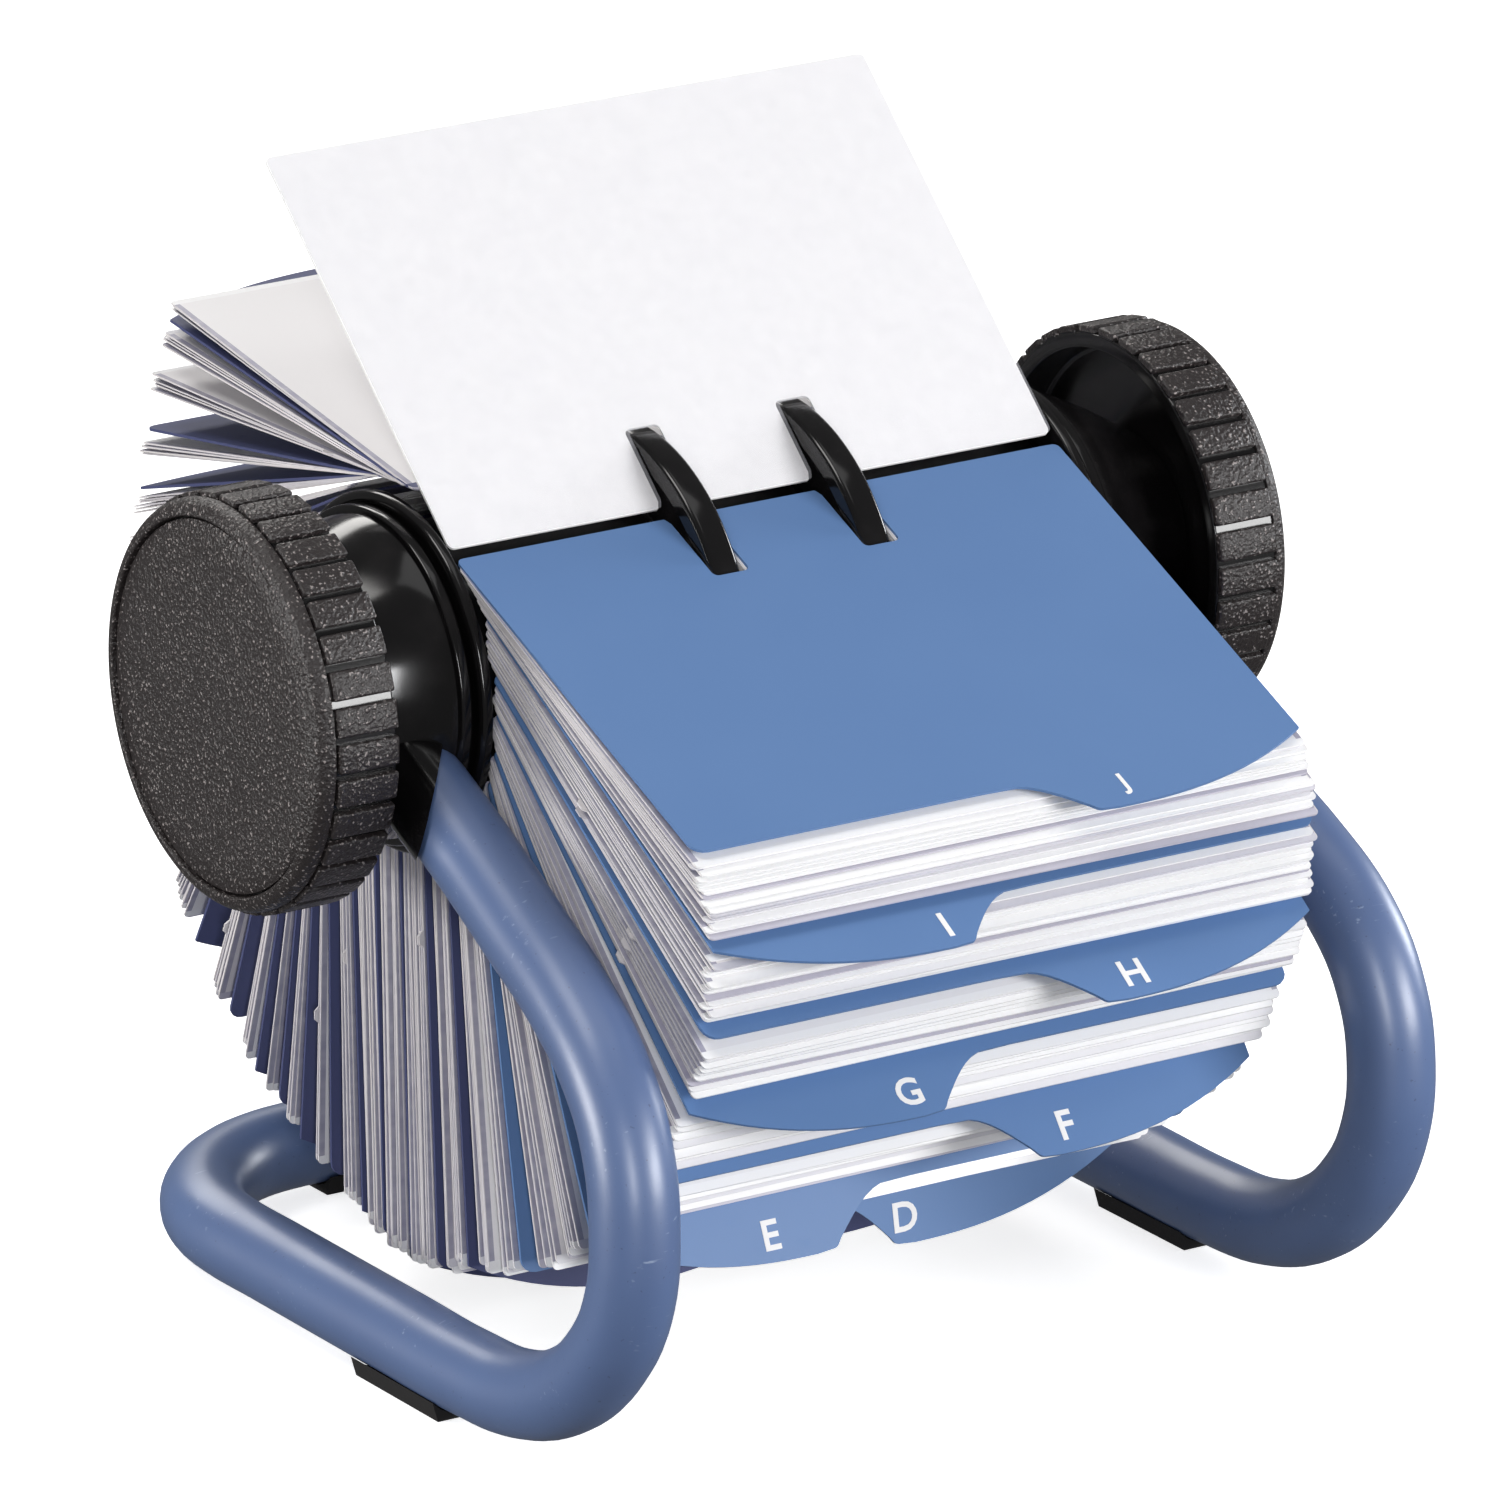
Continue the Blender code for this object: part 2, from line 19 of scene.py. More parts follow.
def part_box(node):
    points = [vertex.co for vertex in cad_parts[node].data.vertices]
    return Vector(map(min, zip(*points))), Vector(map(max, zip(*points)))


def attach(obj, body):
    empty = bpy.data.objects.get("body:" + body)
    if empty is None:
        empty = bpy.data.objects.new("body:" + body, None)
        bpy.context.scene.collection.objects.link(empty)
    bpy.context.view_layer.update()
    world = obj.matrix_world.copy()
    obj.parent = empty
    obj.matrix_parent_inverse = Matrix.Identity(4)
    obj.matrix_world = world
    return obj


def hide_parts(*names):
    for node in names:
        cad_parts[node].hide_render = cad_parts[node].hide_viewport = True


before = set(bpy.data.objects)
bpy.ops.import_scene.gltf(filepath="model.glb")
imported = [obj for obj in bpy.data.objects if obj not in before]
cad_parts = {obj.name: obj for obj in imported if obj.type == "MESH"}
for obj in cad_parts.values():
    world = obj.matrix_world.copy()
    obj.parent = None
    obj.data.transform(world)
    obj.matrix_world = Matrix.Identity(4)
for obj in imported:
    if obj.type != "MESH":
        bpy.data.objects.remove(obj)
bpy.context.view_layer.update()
logging.basicConfig(level=logging.INFO, format="%(message)s")
LOG = logging.getLogger("card_file")

MM = 0.001
AXLE = sum(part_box("axle"), Vector()) / 2
SETTLE = Matrix.Translation(AXLE) @ Matrix.Scale(MM, 4)
Colour = tuple[float, float, float, float]
Point = tuple[float, float]


def srgb(red: int, green: int, blue: int) -> Colour:
    """The linear colour of three display values from 0 to 255."""
    shares = (value / 255 for value in (red, green, blue))
    return (*(s / 12.92 if s <= 0.04045 else ((s + 0.055) / 1.055) ** 2.4 for s in shares), 1.0)


class Side(Enum):
    """The two ends of the axle."""

    LEFT = -1
    RIGHT = 1

    @property
    def word(self) -> str:
        """The name's ending for nodes at this end."""
        return self.name.lower()


class Body(Enum):
    """The frame's moving bodies."""

    FRAME = "frame"
    WHEEL = "wheel"
    RAISED = "raised_card"


# ---------------------------------------------------------------------------------------- node graphs


class Wire:
    """A node's output socket. Arithmetic on it adds Math nodes to its graph."""

    def __init__(self, graph: "Graph", socket: bpy.types.NodeSocket) -> None:
        """Args: graph: the graph that owns the node. socket: the output socket."""
        self.graph = graph
        self.socket = socket

    def maths(self, operation: str, *terms: Any) -> "Wire":
        """Adds one Math node.

        Args:
            operation: the node's operation.
            terms: the values or wires of its inputs, in order.

        Returns:
            The node's result.
        """
        return self.graph.node("ShaderNodeMath", {"operation": operation}, dict(enumerate(terms)))

    def __add__(self, other: Any) -> "Wire":
        """Self plus other."""
        return self.maths("ADD", self, other)

    def __radd__(self, other: Any) -> "Wire":
        """Other plus self."""
        return self.maths("ADD", other, self)

    def __sub__(self, other: Any) -> "Wire":
        """Self less other."""
        return self.maths("SUBTRACT", self, other)

    def __rsub__(self, other: Any) -> "Wire":
        """Other less self."""
        return self.maths("SUBTRACT", other, self)

    def __mul__(self, other: Any) -> "Wire":
        """Self times other."""
        return self.maths("MULTIPLY", self, other)

    def __rmul__(self, other: Any) -> "Wire":
        """Other times self."""
        return self.maths("MULTIPLY", other, self)

    def __pow__(self, other: Any) -> "Wire":
        """Self to the power of other."""
        return self.maths("POWER", self, other)

    def __gt__(self, other: Any) -> "Wire":
        """1 where self is above other, otherwise 0."""
        return self.maths("GREATER_THAN", self, other)

    def __abs__(self) -> "Wire":
        """Self without its sign."""
        return self.maths("ABSOLUTE", self)


class Graph:
    """A node tree that is written as Python expressions."""

    def __init__(self, tree: bpy.types.NodeTree) -> None:
        """Args: tree: the empty tree to fill."""
        self.tree = tree

    def node(
        self,
        kind: str,
        settings: dict[str, Any] | None = None,
        inputs: dict[str | int, Any] | None = None,
        output: str | int = 0,
    ) -> Wire:
        """Adds a node.

        Args:
            kind: the node's type.
            settings: its properties, set first; "stops" fills a ramp.
            inputs: values or wires of its sockets, by name or number.
            output: the output socket to return.

        Returns:
            That output.
        """
        made = self.tree.nodes.new(kind)
        for key, value in (settings or {}).items():
            if key == "stops":
                self._fill_ramp(made.color_ramp, value)
            else:
                setattr(made, key, value)
        for key, value in (inputs or {}).items():
            target = made.inputs[key]
            if isinstance(value, Wire):
                self.tree.links.new(value.socket, target)
            else:
                target.default_value = value
        return Wire(self, made.outputs[output] if made.outputs else None)

    @staticmethod
    def _fill_ramp(ramp: bpy.types.ColorRamp, stops: Sequence[tuple[float, Colour]]) -> None:
        """Sets a ramp's stops. Args: ramp: the ramp. stops: each stop's place and colour."""
        while len(ramp.elements) < len(stops):
            ramp.elements.new(1.0)
        for element, (place, colour) in zip(ramp.elements, stops):
            element.position = place
            element.color = colour


class Recipe(Graph):
    """A material under construction, with the textures that the finishes share."""

    def __init__(self, name: str) -> None:
        """Args: name: the material's name."""
        self.material = bpy.data.materials.new(name)
        self.material.use_nodes = True
        super().__init__(self.material.node_tree)
        self.tree.nodes.clear()
        self.place = self.node("ShaderNodeTexCoord", output="Object")

    def stretched(self, scale: Sequence[float]) -> Wire:
        """Object coordinates stretched per axis. Args: scale: the factors. Returns: the coordinates."""
        return self.node("ShaderNodeMapping", {}, {"Vector": self.place, "Scale": scale})

    def noise(self, grain: float, detail: float = 2.0, place: Wire | None = None) -> Wire:
        """Noise from 0 to 1.

        Args:
            grain: the size of its features in millimetres.
            detail: how many finer layers it has.
            place: the coordinates, if not the plain ones.

        Returns:
            The noise.
        """
        sockets = {"Vector": place or self.place, "Scale": 1 / (grain * MM), "Detail": detail}
        return self.node("ShaderNodeTexNoise", {}, sockets, "Fac")

    def cells(self, size: float, feature: str = "F1") -> Wire:
        """Distance to the nearest cell centre. Args: size: in millimetres. feature: the cell feature."""
        sockets = {"Vector": self.place, "Scale": 1 / (size * MM)}
        return self.node("ShaderNodeTexVoronoi", {"feature": feature}, sockets, "Distance")

    def step(self, value: Wire, low: float, high: float) -> Wire:
        """A smooth step. Args: value: what rises. low: where it starts. high: where it is 1."""
        sockets = {"Value": value, "From Min": low, "From Max": high}
        return self.node("ShaderNodeMapRange", {"interpolation_type": "SMOOTHSTEP"}, sockets)

    def mix(self, share: Any, first: Any, second: Any, mode: str = "MIX") -> Wire:
        """Mixes two colours.

        Args:
            share: how much of the second, from 0 to 1.
            first: a colour or wire.
            second: a colour or wire.
            mode: the blend mode.

        Returns:
            The mixed colour.
        """
        settings = {"data_type": "RGBA", "blend_type": mode}
        return self.node("ShaderNodeMix", settings, {0: share, 6: first, 7: second}, 2)

    def bump(self, height: Wire, depth: float, strength: float = 1.0) -> Wire:
        """A bumped normal. Args: height: from 0 to 1. depth: in millimetres. strength: its share."""
        sockets = {"Height": height, "Distance": depth * MM, "Strength": strength}
        return self.node("ShaderNodeBump", {}, sockets)

    def sheet_axis(self, axis: int) -> Wire:
        """A sheet's own coordinate. Args: axis: 0 across or 1 outward. Returns: it, in millimetres."""
        chart = self.node("ShaderNodeUVMap", {"uv_map": SHEET_CHART})
        return self.node("ShaderNodeSeparateXYZ", {}, {0: chart}, axis) * CHART_SPAN

    def done(self, sockets: dict[str, Any]) -> bpy.types.Material:
        """Adds the surface and its output. Args: sockets: the surface's inputs. Returns: the material."""
        shader = self.node("ShaderNodeBsdfPrincipled", {}, sockets)
        self.node("ShaderNodeOutputMaterial", {}, {"Surface": shader})
        return self.material


# ------------------------------------------------------------------------------------------- finishes

SHEET_CHART = "sheet"
CHART_SPAN = 100.0
TONE = "tone"


@dataclass(frozen=True)
class SatinPaint:
    """Baked satin paint on the tube, with a faint orange peel, dust specks and light scuffs."""

    name: str = "tube_paint"
    colour: Colour = srgb(92, 115, 159)
    cool: Colour = srgb(82, 103, 147)
    speck: Colour = srgb(60, 72, 104)
    scuff: Colour = srgb(168, 184, 212)
    roughness: float = 0.40

    def build(self) -> bpy.types.Material:
        """Builds the finish.

        Returns:
            The material.
        """
        recipe = Recipe(self.name)
        cloud = recipe.noise(14.0, 3.0)
        specks = recipe.step(recipe.noise(0.7, 1.0), 0.73, 0.78)
        lines = recipe.noise(1.0, 2.0, recipe.stretched((0.25, 1.4, 1.4)))
        scuffs = recipe.step(lines, 0.66, 0.74) * recipe.step(recipe.noise(9.0), 0.52, 0.66)
        base = recipe.mix(cloud, self.colour, self.cool)
        speckled = recipe.mix(specks * 0.55, base, self.speck)
        worn = recipe.mix(scuffs * 0.5, speckled, self.scuff)
        peel = recipe.bump(recipe.noise(1.6, 2.0), 0.035, 0.5)
        rough = cloud * 0.10 + (self.roughness - 0.05) + scuffs * 0.15
        return recipe.done(
            {"Base Color": worn, "Roughness": rough, "Normal": peel, "Specular IOR Level": 0.9,
             "Coat Weight": 0.2, "Coat Roughness": 0.3}
        )


@dataclass(frozen=True)
class GlossPlastic:
    """Polished black moulding with faint smudges."""

    name: str = "gloss_black"
    colour: Colour = srgb(16, 15, 16)
    roughness: float = 0.13

    def build(self) -> bpy.types.Material:
        """Builds the finish.

        Returns:
            The material.
        """
        recipe = Recipe(self.name)
        smudge = recipe.noise(7.0, 4.0)
        base = recipe.mix(recipe.step(smudge, 0.45, 0.8), self.colour, srgb(26, 24, 25))
        ripple = recipe.bump(recipe.noise(4.0, 1.0), 0.03, 0.35)
        rough = smudge * 0.12 + (self.roughness - 0.05)
        return recipe.done({"Base Color": base, "Roughness": rough, "Normal": ripple})


@dataclass(frozen=True)
class PebbledPlastic:
    """Black moulding with a pebbled grain outside the given radius, and smooth within it; the grain's crests
    carry a painted highlight.
    """

    name: str = "knob_black"
    colour: Colour = srgb(42, 37, 37)
    # painted highlight: the light colour put on the grain's crests to stand for sparkle
    crest: Colour = srgb(150, 142, 140)
    smooth: Colour = srgb(15, 14, 15)
    smooth_radius: float = 29.3
    shoulder_x: float = 79.4
    face_radius: float = 26.95
    roughness: float = 0.30

    def build(self) -> bpy.types.Material:
        """Builds the finish.

        Returns:
            The material.
        """
        recipe = Recipe(self.name)
        offset = recipe.node(
            "ShaderNodeVectorMath", {"operation": "SUBTRACT"}, {0: recipe.place, 1: AXLE}
        )
        flat = recipe.node(
            "ShaderNodeVectorMath", {"operation": "MULTIPLY"}, {0: offset, 1: (0.0, 1.0, 1.0)}
        )
        radius = recipe.node("ShaderNodeVectorMath", {"operation": "LENGTH"}, {0: flat}, "Value")
        along = abs(recipe.node("ShaderNodeSeparateXYZ", {}, {0: offset}, "X")) > self.shoulder_x * MM
        on_face = along * (radius > self.face_radius * MM)
        on_pads = radius > self.smooth_radius * MM
        grained = on_pads.maths("MAXIMUM", on_pads, on_face) if self.smooth_radius else radius > -1.0
        pebble = 1 - recipe.cells(0.6, "SMOOTH_F1")
        grit = recipe.noise(0.4, 3.0)
        height = (pebble * 0.6 + grit * 0.6) * grained
        # painted highlight: the tops of the grain are coloured light
        highlight_crests = recipe.step(height, 0.76, 0.86)
        base = recipe.mix(highlight_crests * grained, recipe.mix(grained, self.smooth, self.colour), self.crest)
        rough = grained * (self.roughness - 0.16) + 0.16 + grit * 0.08
        return recipe.done(
            {"Base Color": base, "Roughness": rough, "Normal": recipe.bump(height, 0.34, 1.0),
             "Specular IOR Level": 0.5}
        )


@dataclass(frozen=True)
class SheetPlastic:
    """Coloured plastic sheet for the index dividers, satin with a very fine tooth."""

    name: str = "divider_blue"
    colour: Colour = srgb(99, 133, 182)
    shade: Colour = srgb(94, 128, 178)
    roughness: float = 0.42

    def build(self) -> bpy.types.Material:
        """Builds the finish.

        Returns:
            The material.
        """
        recipe = Recipe(self.name)
        cloud = recipe.noise(22.0, 2.0)
        tooth = recipe.noise(0.35, 2.0)
        rub = recipe.step(recipe.noise(3.0, 4.0), 0.60, 0.85)
        base = recipe.mix(cloud, self.colour, self.shade)
        rough = tooth * 0.06 + self.roughness + rub * 0.08
        return recipe.done(
            {"Base Color": base, "Roughness": rough, "Normal": recipe.bump(tooth, 0.02, 0.3),
             "Specular IOR Level": 0.35}
        )


@dataclass(frozen=True)
class PaperCard:
    """White card stock with faint fibres."""

    name: str = "card_white"
    colour: Colour = srgb(247, 246, 246)
    fibre: Colour = srgb(246, 245, 245)
    roughness: float = 0.62

    def build(self) -> bpy.types.Material:
        """Builds the finish.

        Returns:
            The material.
        """
        recipe = Recipe(self.name)
        fibres = recipe.noise(0.8, 4.0, recipe.stretched((0.4, 1.0, 1.0)))
        base = recipe.mix(recipe.step(fibres, 0.4, 0.7), self.colour, self.fibre)
        return recipe.done(
            {"Base Color": base, "Roughness": fibres * 0.08 + self.roughness - 0.04,
             "Normal": recipe.bump(fibres, 0.002, 0.1), "Specular IOR Level": 0.3}
        )


@dataclass(frozen=True)
class SleevedCard:
    """A white card in its clear sleeve: a film margin round the card, and each sleeve a little different,
    with painted shade on the side edges, the side margins, some cards and some front margins.
    """

    name: str = "sleeve"
    card: Colour = srgb(250, 249, 250)
    # painted shade: some cards are darker at random, for the shade lines between sleeves
    aged: Colour = srgb(226, 222, 224)
    front_film: Colour = srgb(252, 252, 253)
    front_shade: Colour = srgb(196, 193, 207)
    # the film margin beside the card: a grey-lavender film tint that is also painted shade on the stack's
    # side
    side_film: Colour = srgb(150, 148, 172)
    # painted shade: the sheets' side edges are coloured darker than the card
    rim: Colour = srgb(230, 226, 226)
    card_half_width: float = 49.9
    card_height: float = 65.6
    rim_half_width: float = 50.75
    roughness: float = 0.30

    def build(self) -> bpy.types.Material:
        """Builds the finish.

        Returns:
            The material.
        """
        recipe = Recipe(self.name)
        across, outward = abs(recipe.sheet_axis(0)), recipe.sheet_axis(1)
        tone = recipe.node("ShaderNodeAttribute", {"attribute_name": TONE}, {}, "Fac")
        beside = across > self.card_half_width
        above = outward > self.card_height
        # painted shade on the side edges, a little different on each sleeve
        rim = (across > self.rim_half_width) * (tone * 0.4 + 0.6)
        # painted shade: a random share of the sleeves get the darker card
        print_free = recipe.mix(tone ** 2.0, self.card, self.aged)
        streak = recipe.noise(2.0, 2.0, recipe.stretched((0.2, 1.0, 1.0)))
        # painted shade: streaked grey-lavender in the side margins
        sided = recipe.mix(beside * (streak * 0.5 + 0.55), print_free, self.side_film)
        fronted = recipe.mix(recipe.step(tone, 0.55, 0.95), self.front_film, self.front_shade)
        framed = recipe.mix(above, sided, fronted)
        # the side edges take the painted shade colour
        base = recipe.mix(rim, framed, self.rim)
        rough = streak * 0.12 + self.roughness - 0.05
        return recipe.done({"Base Color": base, "Roughness": rough, "Specular IOR Level": 0.5})


@dataclass(frozen=True)
class ClearFilm:
    """The clear sleeve in front of the raised card."""

    name: str = "clear_film"
    colour: Colour = srgb(232, 232, 240)
    presence: float = 0.10

    def build(self) -> bpy.types.Material:
        """Builds the finish.

        Returns:
            The material.
        """
        recipe = Recipe(self.name)
        streak = recipe.noise(5.0, 2.0)
        sockets = {"Base Color": self.colour, "Alpha": streak * 0.06 + self.presence, "Roughness": 0.2}
        return recipe.done(sockets)


@dataclass(frozen=True)
class Steel:
    """Plated steel for the axle, screws, washers and springs."""

    name: str = "steel"
    colour: Colour = srgb(176, 177, 180)
    roughness: float = 0.28

    def build(self) -> bpy.types.Material:
        """Builds the finish.

        Returns:
            The material.
        """
        recipe = Recipe(self.name)
        brush = recipe.noise(0.5, 3.0, recipe.stretched((0.1, 1.0, 1.0)))
        base = recipe.mix(brush * 0.5, self.colour, srgb(128, 128, 132))
        return recipe.done(
            {"Base Color": base, "Metallic": 1.0, "Roughness": brush * 0.2 + self.roughness - 0.1,
             "Normal": recipe.bump(brush, 0.01, 0.4)}
        )


@dataclass(frozen=True)
class SoftMatter:
    """A matt rubber, felt or dull plastic, told apart by colour, grain and depth of surface."""

    name: str
    colour: Colour
    spot: Colour
    grain: float
    depth: float
    roughness: float = 0.85

    def build(self) -> bpy.types.Material:
        """Builds the finish.

        Returns:
            The material.
        """
        recipe = Recipe(self.name)
        fuzz = recipe.noise(self.grain, 4.0)
        base = recipe.mix(fuzz, self.colour, self.spot)
        return recipe.done(
            {"Base Color": base, "Roughness": fuzz * 0.15 + self.roughness - 0.1,
             "Normal": recipe.bump(fuzz, self.depth, 0.7)}
        )


@dataclass
class Finishes:
    """Every material of the card file, one for each slot of the record, and the film's."""

    tube_paint: bpy.types.Material = field(default_factory=lambda: SatinPaint().build())
    gloss_black: bpy.types.Material = field(default_factory=lambda: GlossPlastic().build())
    knob_black: bpy.types.Material = field(default_factory=lambda: PebbledPlastic().build())
    face_black: bpy.types.Material = field(
        default_factory=lambda: PebbledPlastic(name="face_black", smooth_radius=0.0).build()
    )
    drum_black: bpy.types.Material = field(
        default_factory=lambda: GlossPlastic("drum_black", srgb(13, 13, 15), 0.3).build()
    )
    divider_blue: bpy.types.Material = field(default_factory=lambda: SheetPlastic().build())
    # painted shade: a darker navy copy of the divider blue, for the dividers behind the front ones
    divider_navy: bpy.types.Material = field(
        default_factory=lambda: SheetPlastic("divider_navy", srgb(76, 82, 122), srgb(70, 76, 116)).build()
    )
    card_white: bpy.types.Material = field(default_factory=lambda: PaperCard().build())
    sleeve: bpy.types.Material = field(default_factory=lambda: SleevedCard().build())
    clear_film: bpy.types.Material = field(default_factory=lambda: ClearFilm().build())
    steel: bpy.types.Material = field(default_factory=lambda: Steel().build())
    pad_rubber: bpy.types.Material = field(
        default_factory=lambda: SoftMatter(
            "pad_rubber", srgb(22, 21, 22), srgb(34, 32, 33), 0.8, 0.05
        ).build()
    )
    felt: bpy.types.Material = field(
        default_factory=lambda: SoftMatter("felt", srgb(70, 66, 64), srgb(98, 93, 90), 0.3, 0.2, 0.95).build()
    )
    white_plastic: bpy.types.Material = field(
        default_factory=lambda: SoftMatter(
            "white_plastic", srgb(226, 225, 220), srgb(212, 211, 206), 3.0, 0.01, 0.45
        ).build()
    )


# --------------------------------------------------------------------------------------- mesh helpers


def rounded(
    corners: Iterable[tuple[float, float, float]], steps: int = 5, closed: bool = True
) -> list[Point]:
    """Rounds a polygon's corners with arcs.

    Args:
        corners: each corner's two coordinates and the radius of its round, 0 for a sharp one.
        steps: how many segments an arc has.
        closed: whether the last corner joins the first.

    Returns:
        The outline's points.
    """
    points = list(corners)
    count = len(points)
    outline: list[Point] = []
    for index, (across, along, radius) in enumerate(points):
        here = Vector((across, along))
        open_end = not closed and index in (0, count - 1)
        if radius <= 0 or open_end:
            outline.append((across, along))
            continue
        before = (Vector(points[index - 1][:2]) - here).normalized()
        after = (Vector(points[(index + 1) % count][:2]) - here).normalized()
        half = before.angle(after) / 2
        reach = radius / math.tan(half)
        centre = here + (before + after).normalized() * radius / math.sin(half)
        start, stop = here + before * reach - centre, here + after * reach - centre
        sweep = start.angle_signed(stop)
        for step in range(steps + 1):
            turn = Matrix.Rotation(-sweep * step / steps, 2)
            outline.append(tuple(centre + turn @ start))
    return outline


def lathe(profile: Sequence[Point], segments: int) -> bmesh.types.BMesh:
    """Turns a closed profile about the axle.

    Args:
        profile: its points as (along the axle, radius), all round the section.
        segments: how many steps the turn has.

    Returns:
        The closed solid, in wheel space.
    """
    solid = bmesh.new()
    rows = []
    for along, radius in profile:
        if radius < 1e-6:
            rows.append([solid.verts.new((along, 0.0, 0.0))])
            continue
        angles = (2 * math.pi * step / segments for step in range(segments))
        rows.append([solid.verts.new((along, -radius * math.cos(a), radius * math.sin(a))) for a in angles])
    for row, following in zip(rows, rows[1:] + rows[:1]):
        for step in range(segments):
            ring = (row[step % len(row)], row[(step + 1) % len(row)])
            far = (following[(step + 1) % len(following)], following[step % len(following)])
            corners = list(dict.fromkeys((*ring, *far)))
            if len(corners) > 2 and not (len(row) == 1 and len(following) == 1):
                solid.faces.new(corners)
    bmesh.ops.recalc_face_normals(solid, faces=solid.faces)
    return solid


def to_mesh(solid: bmesh.types.BMesh, name: str, settle: bool = True, smooth: float = 35.0) -> bpy.types.Mesh:
    """Writes a bmesh to a mesh.

    Args:
        solid: the shape in wheel space, which is freed.
        name: the mesh's name.
        settle: whether it is moved into the frame's metres.
        smooth: edges flatter than this many degrees are shaded smooth; 0 leaves the faces flat.

    Returns:
        The mesh.
    """
    if settle:
        solid.transform(SETTLE)
    mesh = bpy.data.meshes.new(name)
    solid.to_mesh(mesh)
    solid.free()
    if smooth:
        mesh.shade_smooth()
        mesh.set_sharp_from_angle(angle=math.radians(smooth))
    return mesh


def add_object(mesh: bpy.types.Mesh, name: str) -> bpy.types.Object:
    """Links a mesh into the scene as an object.

    Args:
        mesh: the mesh.
        name: the object's name.

    Returns:
        The object.
    """
    made = bpy.data.objects.new(name, mesh)
    bpy.context.scene.collection.objects.link(made)
    return made


def add_piece(
    mesh: bpy.types.Mesh,
    name: str,
    finish: bpy.types.Material,
    body: Body,
    nodes: Sequence[str] = (),
) -> bpy.types.Object:
    """Puts a finished mesh in the scene as a piece of the card file.

    Args:
        mesh: the mesh, with its place in it.
        name: the piece's name.
        finish: its material.
        body: the body that it moves with.
        nodes: the frame's nodes that it stands for.

    Returns:
        The piece.
    """
    mesh.materials.clear()
    mesh.materials.append(finish)
    piece = add_object(mesh, name)
    if nodes:
        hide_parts(*nodes)
    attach(piece, body.value)
    LOG.info("%s: %d faces, rides on %s", name, len(mesh.polygons), body.value)
    return piece


class GeometryRecipe(Graph):
    """A Geometry Nodes tree with named inputs, run once on an object to give a plain mesh."""

    def __init__(self, name: str, sockets: dict[str, str]) -> None:
        """Args: name: the tree's name. sockets: each input's name and socket type."""
        super().__init__(bpy.data.node_groups.new(name, "GeometryNodeTree"))
        face = self.tree.interface
        face.new_socket("Geometry", in_out="OUTPUT", socket_type="NodeSocketGeometry")
        face.new_socket("Geometry", in_out="INPUT", socket_type="NodeSocketGeometry")
        self.keys = {
            label: face.new_socket(label, in_out="INPUT", socket_type=kind).identifier
            for label, kind in sockets.items()
        }
        self.entry = self.tree.nodes.new("NodeGroupInput")

    def given(self, label: str) -> Wire:
        """One of the tree's inputs. Args: label: its name. Returns: its wire."""
        return Wire(self, self.entry.outputs[label])

    def attribute(self, label: str, kind: str) -> Wire:
        """A named attribute. Args: label: its name. kind: its data type. Returns: its wire."""
        return self.node("GeometryNodeInputNamedAttribute", {"data_type": kind}, {"Name": label})

    def close(self, geometry: Wire) -> None:
        """Ends the tree: settles the shape, realizes it and gives it its material.

        Args:
            geometry: the finished shape's wire.
        """
        scaled = self.node(
            "GeometryNodeTransform", {}, {"Geometry": geometry, "Translation": AXLE, "Scale": (MM, MM, MM)}
        )
        real = self.node("GeometryNodeRealizeInstances", {}, {"Geometry": scaled})
        dressed = self.node(
            "GeometryNodeSetMaterial", {}, {"Geometry": real, "Material": self.given("Finish")}
        )
        self.node("NodeGroupOutput", {}, {"Geometry": dressed})

    def run(self, carrier: bpy.types.Object, name: str, values: dict[str, Any]) -> bpy.types.Mesh:
        """Runs the tree on an object and throws the object away.

        Args:
            carrier: the object that holds the tree's input geometry.
            name: the new mesh's name.
            values: the tree's inputs by name.

        Returns:
            The result as a plain mesh.
        """
        modifier = carrier.modifiers.new("shape", "NODES")
        modifier.node_group = self.tree
        for label, value in values.items():
            modifier[self.keys[label]] = value
        evaluated = carrier.evaluated_get(bpy.context.evaluated_depsgraph_get())
        mesh = bpy.data.meshes.new_from_object(evaluated)
        mesh.name = name
        carrier.modifiers.remove(modifier)
        bpy.data.objects.remove(carrier)
        return mesh


# ------------------------------------------------------------------------------------------ tube frame


